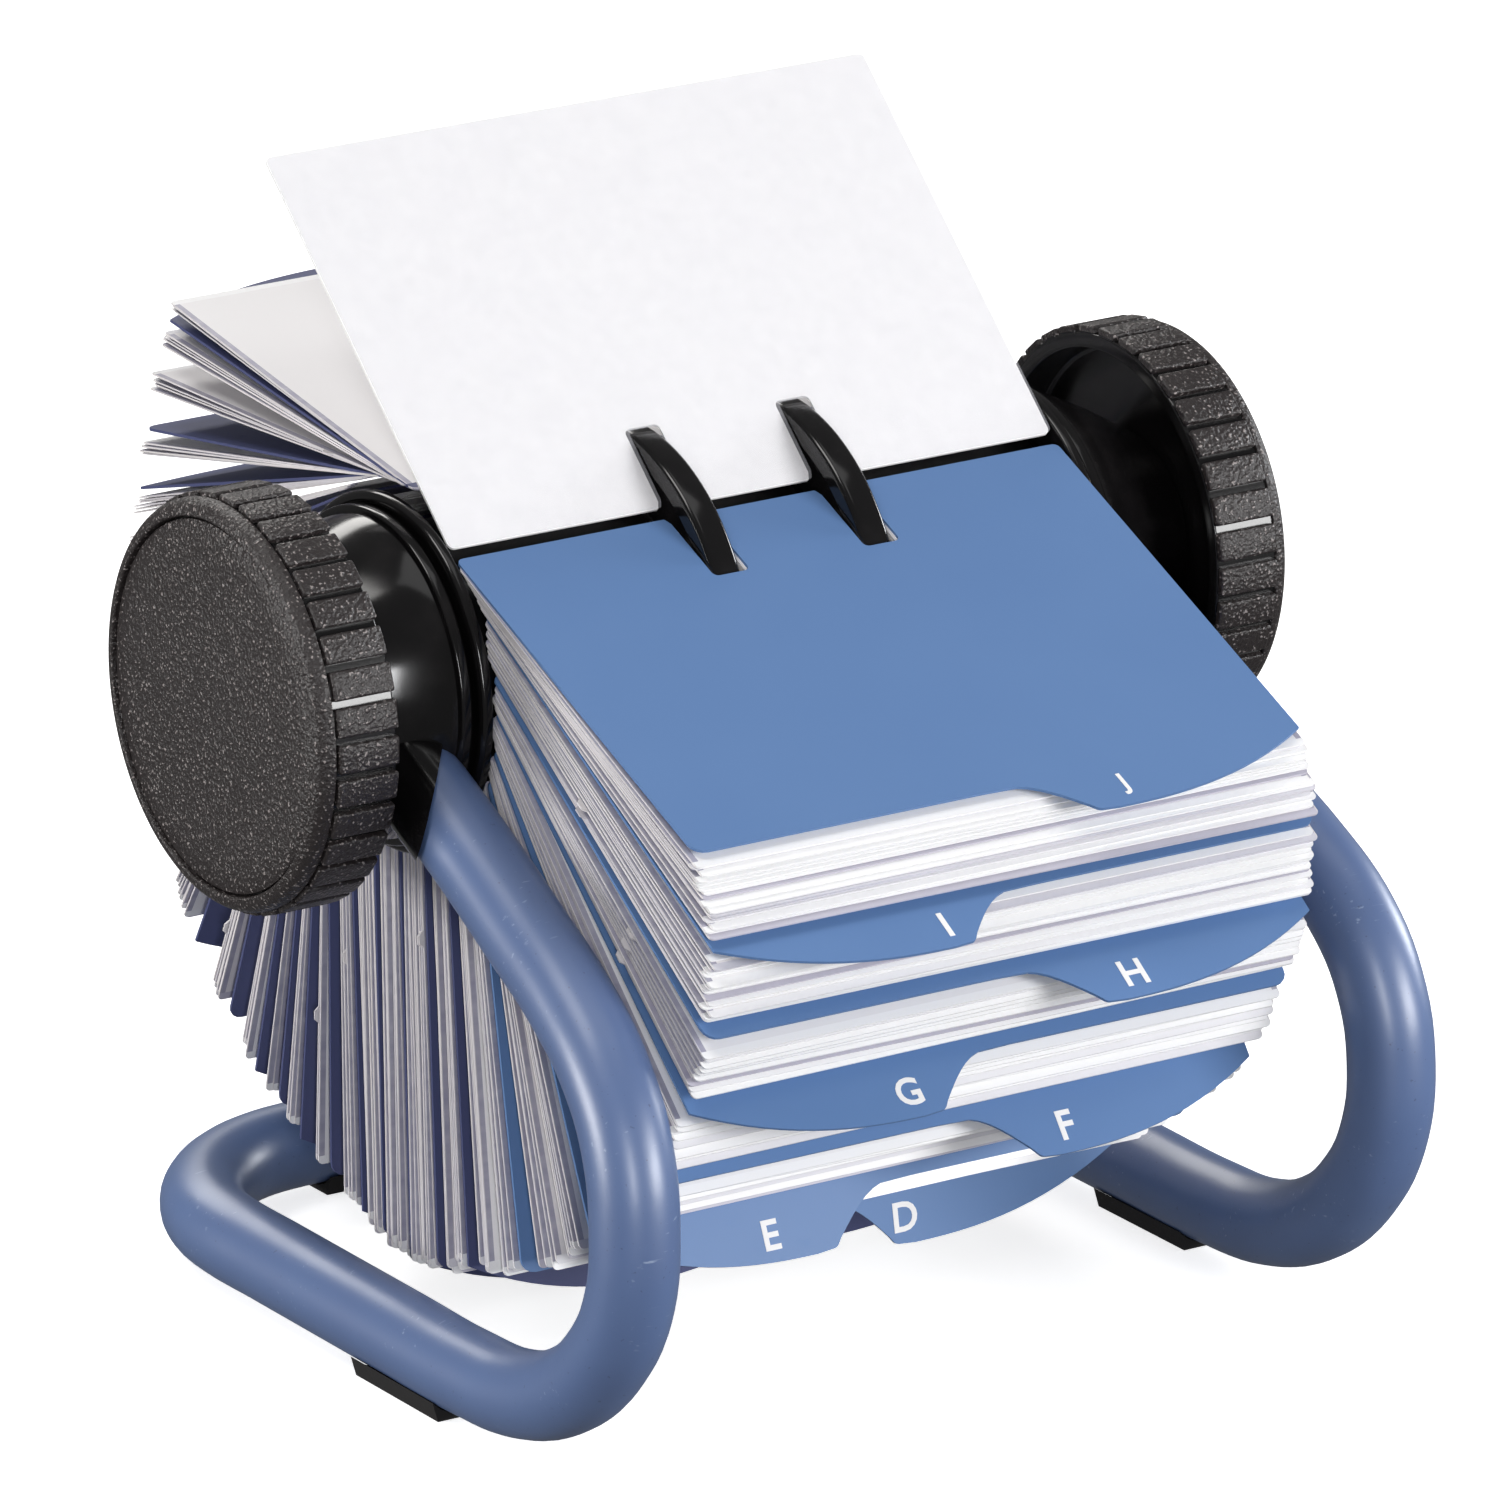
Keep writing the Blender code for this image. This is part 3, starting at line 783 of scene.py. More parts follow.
@dataclass
class TubeFrame:
    """The bent tube that stands on the table and holds both hubs."""

    finishes: Finishes
    radius: float = 6.35
    sides: int = 40
    spacing: float = 2.0
    base_x: float = 63.8
    base_z: float = -90.8
    rear_y: float = 54.0
    rear_radius: float = 28.0
    arm: tuple[tuple[float, float, float], ...] = (
        (60.0, -13.0, -6.2), (60.0, -33.6, -16.0), (60.8, -48.5, -22.9), (61.8, -62.5, -29.4),
        (62.8, -73.2, -36.8), (63.4, -79.2, -45.4), (63.8, -81.6, -56.2), (63.8, -80.3, -67.2),
        (63.8, -74.2, -77.4), (63.8, -64.6, -85.2), (63.8, -52.6, -89.6), (63.8, -39.0, -90.8),
        (63.8, -20.0, -90.8), (63.8, 0.0, -90.8), (63.8, 14.0, -90.8),
    )

    def right_half(self) -> list[Vector]:
        """The tube's middle line from the right hub to the middle of the rear bar.

        Returns:
            The line's points, in order.
        """
        points = [Vector(point) for point in self.arm]
        centre = Vector((self.base_x - self.rear_radius, self.rear_y - self.rear_radius, self.base_z))
        for step in range(7):
            angle = math.radians(15 * step)
            points.append(centre + self.rear_radius * Vector((math.cos(angle), math.sin(angle), 0)))
        points.append(Vector((centre.x / 2, self.rear_y, self.base_z)))
        return points

    def tree(self) -> GeometryRecipe:
        """The tree that sweeps the tube's section along its line.

        Returns:
            The finished tree.
        """
        recipe = GeometryRecipe(
            "tube_sweep",
            {"Radius": "NodeSocketFloat", "Sides": "NodeSocketInt", "Spacing": "NodeSocketFloat",
             "Finish": "NodeSocketMaterial"},
        )
        line = recipe.node(
            "GeometryNodeResampleCurve", {"mode": "LENGTH"},
            {"Curve": recipe.given("Geometry"), "Length": recipe.given("Spacing")},
        )
        section = recipe.node(
            "GeometryNodeCurvePrimitiveCircle", {},
            {"Resolution": recipe.given("Sides"), "Radius": recipe.given("Radius")},
        )
        skin = recipe.node(
            "GeometryNodeCurveToMesh", {}, {"Curve": line, "Profile Curve": section, "Fill Caps": True}
        )
        recipe.close(skin)
        return recipe

    def build(self) -> None:
        """Adds the tube."""
        half = self.right_half()
        line = [*half, *(Vector((-p.x, p.y, p.z)) for p in reversed(half))]
        curve = bpy.data.curves.new("tube_line", "CURVE")
        curve.dimensions = "3D"
        curve.resolution_u = 8
        spline = curve.splines.new("BEZIER")
        spline.bezier_points.add(len(line) - 1)
        for knot, point in zip(spline.bezier_points, line):
            knot.co = point
            knot.handle_left_type = "AUTO"
            knot.handle_right_type = "AUTO"
        carrier = bpy.data.objects.new("tube_line", curve)
        bpy.context.scene.collection.objects.link(carrier)
        mesh = self.tree().run(
            carrier, "tube_frame",
            {"Radius": self.radius, "Sides": self.sides, "Spacing": self.spacing,
             "Finish": self.finishes.tube_paint},
        )
        mesh.shade_smooth()
        mesh.set_sharp_from_angle(angle=math.radians(50))
        add_piece(mesh, "tube", self.finishes.tube_paint, Body.FRAME, ("tube_frame",))


# ----------------------------------------------------------------------------------------------- hubs


@dataclass
class Hub:
    """The fixed, glossy spool that holds the tube's end and carries the axle."""

    finishes: Finishes
    rim_radius: float = 24.5
    rim_start: float = 53.6
    rim_end: float = 55.7
    flare_start: float = 56.3
    flare_radius: float = 23.4
    end: float = 74.5
    end_radius: float = 14.0
    bore: float = 6.6
    flare_power: float = 1.25
    flare_steps: int = 16
    segments: int = 112
    collar_radius: float = 6.95
    collar_root: tuple[float, float, float] = (60.0, -13.0, -6.2)
    collar_along: tuple[float, float, float] = (0.0, -0.903, -0.43)
    collar_reach: float = 10.5
    collar_slant: float = 9.6

    def profile(self) -> list[Point]:
        """The section: a rounded double rim, then a flare that narrows to the knob.

        Returns:
            Its points, each a place along the axle and a radius.
        """
        corners = [
            (self.rim_start, self.bore, 0.0), (self.rim_start, self.rim_radius - 1.2, 0.3),
            (self.rim_start + 0.3, self.rim_radius, 0.5), (self.rim_end, self.rim_radius, 0.5),
            (self.rim_end + 0.1, self.flare_radius + 0.1, 0.2),
        ]
        points = rounded(corners, 4, closed=False)
        for step in range(self.flare_steps + 1):
            share = step / self.flare_steps
            along = self.flare_start + (self.end - self.flare_start) * share
            drop = (self.flare_radius - self.end_radius) * share**self.flare_power
            points.append((along, self.flare_radius - drop))
        return [*points, (self.end, self.bore)]

    def add_collar(self, hub: bmesh.types.BMesh, side: Side, steps: int = 48) -> None:
        """Adds the slanting collar that the tube's end is pushed through.

        Args:
            hub: the spool to add it to.
            side: its end of the axle.
            steps: how many steps it has round.
        """
        root = Vector(self.collar_root)
        root.x *= side.value
        along = Vector(self.collar_along).normalized()
        outward = Vector((side.value, 0, 0))
        up = along.cross(outward) * -side.value
        rings = [[], []]
        for step in range(steps):
            angle = 2 * math.pi * step / steps
            spoke = outward * math.cos(angle) + up * math.sin(angle)
            reach = self.collar_reach + self.collar_slant * math.cos(angle)
            rings[0].append(hub.verts.new(root + spoke * self.collar_radius))
            rings[1].append(hub.verts.new(root + spoke * self.collar_radius + along * reach))
        faces = [hub.faces.new(ring) for ring in rings]
        for step in range(steps):
            following = (step + 1) % steps
            faces.append(
                hub.faces.new((rings[0][step], rings[0][following], rings[1][following], rings[1][step]))
            )
        bmesh.ops.recalc_face_normals(hub, faces=faces)

    def build(self, side: Side) -> None:
        """Adds one hub. Args: side: its end of the axle."""
        section = [(side.value * along, radius) for along, radius in self.profile()]
        hub = lathe(section, self.segments)
        self.add_collar(hub, side)
        mesh = to_mesh(hub, f"hub_{side.word}")
        nodes = (f"bearing_housing_{side.word}",)
        add_piece(mesh, f"hub_{side.word}", self.finishes.gloss_black, Body.FRAME, nodes)


# ---------------------------------------------------------------------------------------------- knobs


@dataclass
class Knob:
    """A hollow thumb wheel with raised grip pads round it, and the grained disc that closes its face."""

    finishes: Finishes
    rim: float = 69.4
    face: float = 82.0
    pad_radius: float = 30.3
    floor_radius: float = 29.2
    inner_radius: float = 26.9
    shoulder: float = 2.2
    web: tuple[float, float] = (75.2, 77.2)
    bore: float = 6.5
    disc_radius: float = 26.8
    disc_back: float = 80.6
    dome: float = 0.28
    pads: int = 36
    pad_share: float = 0.80
    pad_start: float = 69.5
    pad_end: float = 79.2
    pad_round: float = 0.45
    pad_root: float = 28.6
    segments: int = 144

    def shell(self, side: Side) -> bmesh.types.BMesh:
        """The wheel without its pads. Args: side: its end. Returns: the solid, in wheel space."""
        lip = self.face - 1.7
        corners = [
            (self.rim, self.inner_radius, 0.3), (self.web[0], self.inner_radius, 1.0),
            (self.web[0], self.bore, 0.0), (self.web[1], self.bore, 0.0), (self.web[1], 26.0, 0.0),
            (lip, 26.0, 0.0), (lip, self.disc_radius + 0.15, 0.0),
            (self.face, self.disc_radius + 0.35, 0.35), (self.face, 29.62, self.shoulder),
            (79.5, 29.62, 0.15), (79.35, self.floor_radius, 0.1), (self.rim, self.floor_radius, 0.4),
        ]
        section = [(side.value * along, radius) for along, radius in rounded(corners, 6)]
        return lathe(section, self.segments)

    def pad(self, side: Side) -> bmesh.types.BMesh:
        """One rounded pad, bent to the wheel at the front. Args: side: its end. Returns: the solid."""
        solid = bmesh.new()
        bmesh.ops.create_cube(solid, size=1.0)
        arc = 2 * math.pi / self.pads * self.pad_share
        size = (self.pad_end - self.pad_start, arc * self.pad_radius, self.pad_radius - self.pad_root)
        bmesh.ops.scale(solid, vec=size, verts=solid.verts)
        top = [e for e in solid.edges if max(v.co.z for v in e.verts) > 0]
        bmesh.ops.bevel(
            solid, geom=top, offset=self.pad_round, segments=3, profile=0.6,
            affect="EDGES", clamp_overlap=True,
        )
        middle = side.value * (self.pad_start + self.pad_end) / 2
        for vert in solid.verts:
            radius = (self.pad_root + self.pad_radius) / 2 + vert.co.z
            angle = vert.co.y / self.pad_radius
            vert.co = Vector((middle + vert.co.x, -radius * math.cos(angle), radius * math.sin(angle)))
        bmesh.ops.recalc_face_normals(solid, faces=solid.faces)
        return solid

    def tree(self) -> GeometryRecipe:
        """The tree that sets the pads round the wheel and joins them to it.

        Returns:
            The finished tree.
        """
        recipe = GeometryRecipe(
            "pad_ring",
            {"Pad": "NodeSocketObject", "Count": "NodeSocketInt", "Finish": "NodeSocketMaterial"},
        )
        count = recipe.given("Count")
        seats = recipe.node("GeometryNodePoints", {}, {"Count": count})
        turn = recipe.node("GeometryNodeInputIndex") * (2 * math.pi)
        angle = turn.maths("DIVIDE", turn, count)
        lean = recipe.node("ShaderNodeCombineXYZ", {}, {"X": angle})
        pad = recipe.node("GeometryNodeObjectInfo", {}, {"Object": recipe.given("Pad")}, "Geometry")
        ring = recipe.node(
            "GeometryNodeInstanceOnPoints", {}, {"Points": seats, "Instance": pad, "Rotation": lean}
        )
        join = recipe.node("GeometryNodeJoinGeometry", {}, {"Geometry": recipe.given("Geometry")})
        recipe.tree.links.new(ring.socket, join.socket.node.inputs["Geometry"])
        recipe.close(join)
        return recipe

    def build(self, side: Side) -> None:
        """Adds one knob and its face disc. Args: side: its end of the axle."""
        shell = add_object(to_mesh(self.shell(side), "knob_shell", settle=False), "knob_shell")
        pad = add_object(to_mesh(self.pad(side), "pad", settle=False), "pad")
        values = {"Pad": pad, "Count": self.pads, "Finish": self.finishes.knob_black}
        mesh = self.tree().run(shell, f"knob_{side.word}", values)
        bpy.data.objects.remove(pad)
        mesh.set_sharp_from_angle(angle=math.radians(40))
        add_piece(
            mesh, f"grip_{side.word}", self.finishes.knob_black, Body.WHEEL,
            (f"knob_{side.word}",),
        )
        rings = 9
        dome = [
            (self.face - 0.05 - self.dome * (r / rings) ** 2, self.disc_radius * r / rings * 0.975)
            for r in range(rings + 1)
        ]
        edge = [(self.disc_back + 0.4, self.disc_radius), (self.disc_back, self.disc_radius - 0.3)]
        outer = [(dome[-1][0] - 0.25, self.disc_radius - 0.1)]
        section = [(side.value * a, r) for a, r in [*dome, *outer, *edge, (self.disc_back, 0.0)]]
        disc = to_mesh(lathe(section, self.segments), f"face_{side.word}")
        nodes = (f"knob_cap_{side.word}",)
        add_piece(disc, f"face_disc_{side.word}", self.finishes.face_black, Body.WHEEL, nodes)


# ----------------------------------------------------------------------------------------------- drum


@dataclass
class Drum:
    """The drum, its end flanges and the two rails that the sheets clip over."""

    finishes: Finishes
    radius: float = 20.3
    wall: float = 2.0
    half_length: float = 51.0
    flange: float = 51.45
    flange_bore: float = 9.0
    flange_radius: float = 26.1
    bead: float = 1.8
    rail_x: float = 12.7
    rail_radius: float = 30.0
    head_half: float = 2.4
    head_root: float = 27.2
    neck_half: float = 2.05
    segments: int = 144

    def build(self) -> None:
        """Adds the drum, both flanges and both rails."""
        inner = self.radius - self.wall
        near, far = -self.half_length, self.half_length
        loop = [
            (near, inner, 0.3), (far, inner, 0.3),
            (far, self.radius, 0.4), (near, self.radius, 0.4),
        ]
        shell = to_mesh(lathe(rounded(loop, 3), self.segments), "drum")
        add_piece(shell, "drum", self.finishes.drum_black, Body.WHEEL, ("drum_shell",))
        for side in Side:
            self.build_flange(side)
            self.build_rail(side)

    def build_flange(self, side: Side) -> None:
        """Adds one end disc with a thick rolled rim. Args: side: its end of the axle."""
        near, far = self.flange, self.flange + 1.1
        corners = [
            (near, self.flange_bore, 0.0), (near, self.flange_radius, 0.5),
            (near + self.bead, self.flange_radius, 0.75), (near + self.bead, self.flange_radius - 1.4, 0.4),
            (far, self.flange_radius - 1.9, 0.3), (far, self.flange_bore, 0.0),
        ]
        section = [(side.value * along, radius) for along, radius in rounded(corners, 5)]
        mesh = to_mesh(lathe(section, self.segments), f"flange_{side.word}")
        nodes = (f"flange_{side.word}",)
        add_piece(mesh, f"end_disc_{side.word}", self.finishes.gloss_black, Body.WHEEL, nodes)

    def build_rail(self, side: Side) -> None:
        """Adds one T-shaped rail. Args: side: its side of the middle."""
        middle, root = side.value * self.rail_x, self.radius - 0.4
        head, neck = self.head_half, self.neck_half
        half = [
            (neck + 0.6, root, 0.0), (neck, self.radius + 0.9, 0.6), (neck, self.head_root - 0.5, 0.4),
            (head, self.head_root, 0.25), (head, self.rail_radius, 0.9),
        ]
        mirrored = [(-along, radius, fillet) for along, radius, fillet in reversed(half)]
        section = [(middle + along, radius) for along, radius in rounded([*half, *mirrored], 5)]
        mesh = to_mesh(lathe(section, self.segments), f"rail_{side.word}")
        nodes = (f"rail_{side.word}",)
        add_piece(mesh, f"card_rail_{side.word}", self.finishes.gloss_black, Body.WHEEL, nodes)


# --------------------------------------------------------------------------------------------- sheets


@dataclass(frozen=True)
class Station:
    """Where a sheet sits on the wheel, in degrees and millimetres."""

    label: str
    ring: float
    lean: float
    reach: float = 25.1
    sleeves: int = 0
    bunches: int = 1
    openness: float = 0.05
    push: float = -0.5
    slide: float = 0.0

    def place(self) -> Matrix:
        """The matrix from the sheet's own axes (across, outward, towards the next sheet) to wheel space.

        Returns:
            The matrix.
        """
        ring, lean = math.radians(self.ring), math.radians(self.lean)
        outward = Vector((0, -math.cos(lean), math.sin(lean)))
        towards = Vector((0, -outward.z, outward.y))
        origin = Vector((0, -self.reach * math.cos(ring), self.reach * math.sin(ring))) + outward * self.slide
        rows = Matrix((Vector((1, 0, 0)), outward, towards)).transposed().to_4x4()
        return Matrix.Translation(origin) @ rows


FAN = (
    Station("J", 53.4, -22.5, 25.1, 17, push=0.1), Station("I", 32.0, -29.2, 26.6, 15, push=-0.8),
    Station("H", 13.0, -34.0, 25.1, 10), Station("G", 1.5, -42.0, 25.1, 11),
    Station("F", -12.0, -52.0, 25.1, 9, 2, 0.25), Station("E", -24.0, -66.0, 25.1, 10, 2, 0.3),
    Station("D", -38.0, -79.5, 25.1, 13, 2, 0.5), Station("C", -57.0, -85.5, 21.6, 13, 2, 0.6),
    Station("B", -74.0, -87.0, 21.8, 13, 3, 0.6), Station("A", -92.0, -88.0, 21.6, 12, 2, 0.6),
    Station("XYZ", -110.0, -88.0, 22.0, 10, 2, 0.55), Station("W", -127.0, -88.0, 23.2, 8, 1, 0.55),
    Station("V", -141.4, -90.0, 25.1, 4, 1, 0.6), Station("U", -148.8, -96.2, 25.1, 4, 1, 0.6),
    Station("T", -155.7, -99.7, 25.1, 3, 1, 0.6), Station("S", -160.8, -105.1, 25.1, 5, 1, 0.6),
    Station("R", -170.4, -110.4, 25.1, 6, 1, 0.6), Station("Q", -181.5, -119.2, 25.1, 8, 1, 0.5),
    Station("P", -197.0, -131.0, 25.3, 9, 2, 0.5), Station("O", -213.0, -143.0, 25.6, 10, 2, 0.5),
    Station("N", -232.0, -154.0, 26.8, 11, 2, -0.5), Station("M", -253.5, -163.5, 27.8, 4, 1, -0.5),
    Station("L", -261.2, -171.2, 27.8, 9, 2, -0.55), Station("K", -276.6, -186.6, 27.8, 3, push=0.4),
)
FAN_END = Station("end", -281.0, -191.0, 27.8)
RAISED = Station("raised", 58.0, 137.7, 25.1)
PACKS = ("J_I", "I_H", "H_G", "G_F", "F_E", "E_D", "D_C", "C_B", "B_A", "A_V", "V_R", "R_N", "N_K", "top")


@dataclass(frozen=True)
class SheetShape:
    """The outline of a sheet that clips over the rails, with or without an index tab."""

    half_width: float = 50.8
    height: float = 66.7
    corner: float = 2.2
    slot_x: float = 12.7
    slot_half: float = 3.0
    slot_depth: float = 13.4
    slot_round: float = 0.9
    slot_lip: float = 0.5
    thickness: float = 0.42
    tab: int = 0
    tab_rise: float = 8.0
    notch_half: float = 0.0
    notch_place: float = 38.0
    notch_lift: float = 0.7
    crown_start: float = 15.0
    crown_power: float = 2.4
    shoulder: float = 11.6
    shoulder_round: float = 1.3
    hollow_drop: float = 1.6
    foot: float = 1.0
    bends: tuple[float, ...] = ()

    def inner_edge(self) -> list[tuple[float, float, float]]:
        """The inner edge from left to right, with its two slots.

        Returns:
            Its corners and the radius of each round.
        """
        corners = [(-self.half_width, 0.0, 1.0)]
        for middle in (-self.slot_x, self.slot_x):
            near, far = middle - self.slot_half, middle + self.slot_half
            corners += [
                (near - self.slot_lip, 0.0, 0.3), (near, 1.2, 0.3), (near, self.slot_depth, self.slot_round),
                (far, self.slot_depth, self.slot_round), (far, 1.2, 0.3), (far + self.slot_lip, 0.0, 0.3),
            ]
        return [*corners, (self.half_width, 0.0, 1.0)]

    def side_edge(self) -> list[tuple[float, float, float]]:
        """The thumb bump on the right edge, from the inner end outward.

        Returns:
            Its corners, or none on a plain sheet.
        """
        if not self.notch_half:
            return []
        rise, place, half = self.half_width + self.notch_lift, self.notch_place, self.notch_half
        return [
            (self.half_width, place - half, 0.0), (rise, place - half * 0.5, 0.0),
            (rise, place + half * 0.5, 0.0), (self.half_width, place + half, 0.0),
        ]

    def tab_edge(self) -> list[tuple[float, float, float]]:
        """The outer edge's tab on the right half, from its crown's end to the foot of its rise.

        Returns:
            Its corners and the radius of each round.
        """
        crown_end, crown_steps, hollow_steps = self.half_width - 0.4, 14, 7
        points = []
        for step in range(crown_steps + 1):
            share = 1 - step / crown_steps
            across = self.crown_start + (crown_end - self.crown_start) * share
            rise = self.tab_rise * (1 - share**self.crown_power)
            points.append((across, self.height + rise, 0.0))
        points.append((self.shoulder, self.height + self.tab_rise - 0.3, self.shoulder_round))
        hollow_start = self.shoulder - 1
        for step in range(hollow_steps):
            share = 1 - step / hollow_steps
            across = self.foot + (hollow_start - self.foot) * share
            rise = (self.tab_rise - self.hollow_drop) * (1 - math.cos(share * math.pi / 2))
            points.append((across, self.height + rise, 0.0))
        return [*points, (self.foot - 4.0, self.height, 0.0)]

    def outline(self) -> list[Point]:
        """The whole outline, in millimetres, anticlockwise as seen against the next sheet.

        Returns:
            Its points, in order.
        """
        width, height = self.half_width, self.height
        right = self.side_edge()
        left = [(-across, along, fillet) for across, along, fillet in reversed(right)]
        outer = [(width, height, self.corner), (-width, height, self.corner)]
        if self.tab > 0:
            outer = [*self.tab_edge(), (-width, height, self.corner)]
        elif self.tab < 0:
            mirrored = [(-across, along, fillet) for across, along, fillet in reversed(self.tab_edge())]
            outer = [(width, height, self.corner), *mirrored]
        return rounded([*self.inner_edge(), *right, *outer, *left], 4)

    def solid(self) -> bmesh.types.BMesh:
        """The sheet as a closed plate in its own axes, with its chart.

        Returns:
            The plate.
        """
        plate = bmesh.new()
        plate.faces.new([plate.verts.new((across, along, 0.0)) for across, along in self.outline()])
        for along in (self.slot_depth, *self.bends):
            parts = [*plate.verts, *plate.edges, *plate.faces]
            bmesh.ops.bisect_plane(plate, geom=parts, plane_co=(0, along, 0), plane_no=(0, 1, 0))
        made = bmesh.ops.extrude_face_region(plate, geom=list(plate.faces))
        lifted = [part for part in made["geom"] if isinstance(part, bmesh.types.BMVert)]
        bmesh.ops.translate(plate, vec=(0, 0, self.thickness), verts=lifted)
        bmesh.ops.translate(plate, vec=(0, 0, -self.thickness / 2), verts=plate.verts)
        bmesh.ops.recalc_face_normals(plate, faces=plate.faces)
        chart = plate.loops.layers.uv.new(SHEET_CHART)
        for sheet_face in plate.faces:
            for loop in sheet_face.loops:
                loop[chart].uv = loop.vert.co.xy / CHART_SPAN
        return plate

    def mesh(self, station: Station, name: str) -> bpy.types.Mesh:
        """The sheet at its station.

        Args:
            station: its place.
            name: the mesh's name.

        Returns:
            The mesh.
        """
        plate = self.solid()
        plate.transform(station.place())
        return to_mesh(plate, name, smooth=0.0)


@dataclass
class IndexDividers:
    """The dividers with their tabs and letters: blue at the front, the rest in a darker navy copy of the blue
    that is painted shade.
    """

    finishes: Finishes
    shape: SheetShape = SheetShape()
    letter_height: float = 4.4
    letter_weight: float = 0.02
    letter_depth: float = 0.06
    letter_x: dict[str, float] = field(
        default_factory=lambda: {
            "J": 18.2, "I": -14.5, "H": 18.0, "G": -16.0, "F": 17.0, "E": -22.0, "D": 13.5,
        }
    )
    usual_letter_x: float = 17.0
    letter_s: float = 70.6
    front_count: int = 7

    def letter(self, station: Station, tab: int) -> bmesh.types.BMesh:
        """A divider's raised letter.

        Args:
            station: the divider's place and letter.
            tab: which side its tab is on.

        Returns:
            The letter in wheel space.
        """
        words = bpy.data.curves.new("letter", "FONT")
        words.body = station.label
        words.align_x = "CENTER"
        words.size = 1.0
        words.offset = self.letter_weight
        words.extrude = 0.5
        words.resolution_u = 4
        carrier = bpy.data.objects.new("letter", words)
        bpy.context.scene.collection.objects.link(carrier)
        bpy.context.view_layer.update()
        mesh = bpy.data.meshes.new_from_object(carrier)
        bpy.data.objects.remove(carrier)
        shape = bmesh.new()
        shape.from_mesh(mesh)
        bpy.data.meshes.remove(mesh)
        bmesh.ops.remove_doubles(shape, verts=shape.verts, dist=1e-5)
        tall = max(v.co.y for v in shape.verts) - min(v.co.y for v in shape.verts)
        scale = self.letter_height / tall
        low = min(v.co.y for v in shape.verts)
        across = self.letter_x.get(station.label, tab * self.usual_letter_x)
        front = -self.shape.thickness / 2 - self.letter_depth / 2
        outward = self.letter_s + self.letter_height / 2 + low * scale
        turned = Matrix((
            (scale, 0, 0, across), (0, -scale, 0, outward), (0, 0, -self.letter_depth, front), (0, 0, 0, 1),
        ))
        shape.transform(station.place() @ turned)
        bmesh.ops.recalc_face_normals(shape, faces=shape.faces)
        return shape

    def build(self) -> None:
        """Adds every divider and its letter."""
        letters = bmesh.new()
        for index, station in enumerate(FAN):
            tab = 1 if index % 2 == 0 else -1
            name = f"divider_{station.label}"
            nodes = (name,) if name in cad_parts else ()
            mesh = replace(self.shape, tab=tab).mesh(station, name)
            # the dividers behind the front ones get the darker copy of the blue, as painted shade
            finish = self.finishes.divider_blue if index < self.front_count else self.finishes.divider_navy
            add_piece(mesh, f"index_{station.label}", finish, Body.WHEEL, nodes)
            holder = to_mesh(self.letter(station, tab), "letter", settle=False, smooth=0.0)
            letters.from_mesh(holder)
            bpy.data.meshes.remove(holder)
        printed = to_mesh(letters, "letters", smooth=0.0)
        add_piece(printed, "letters", self.finishes.card_white, Body.WHEEL)


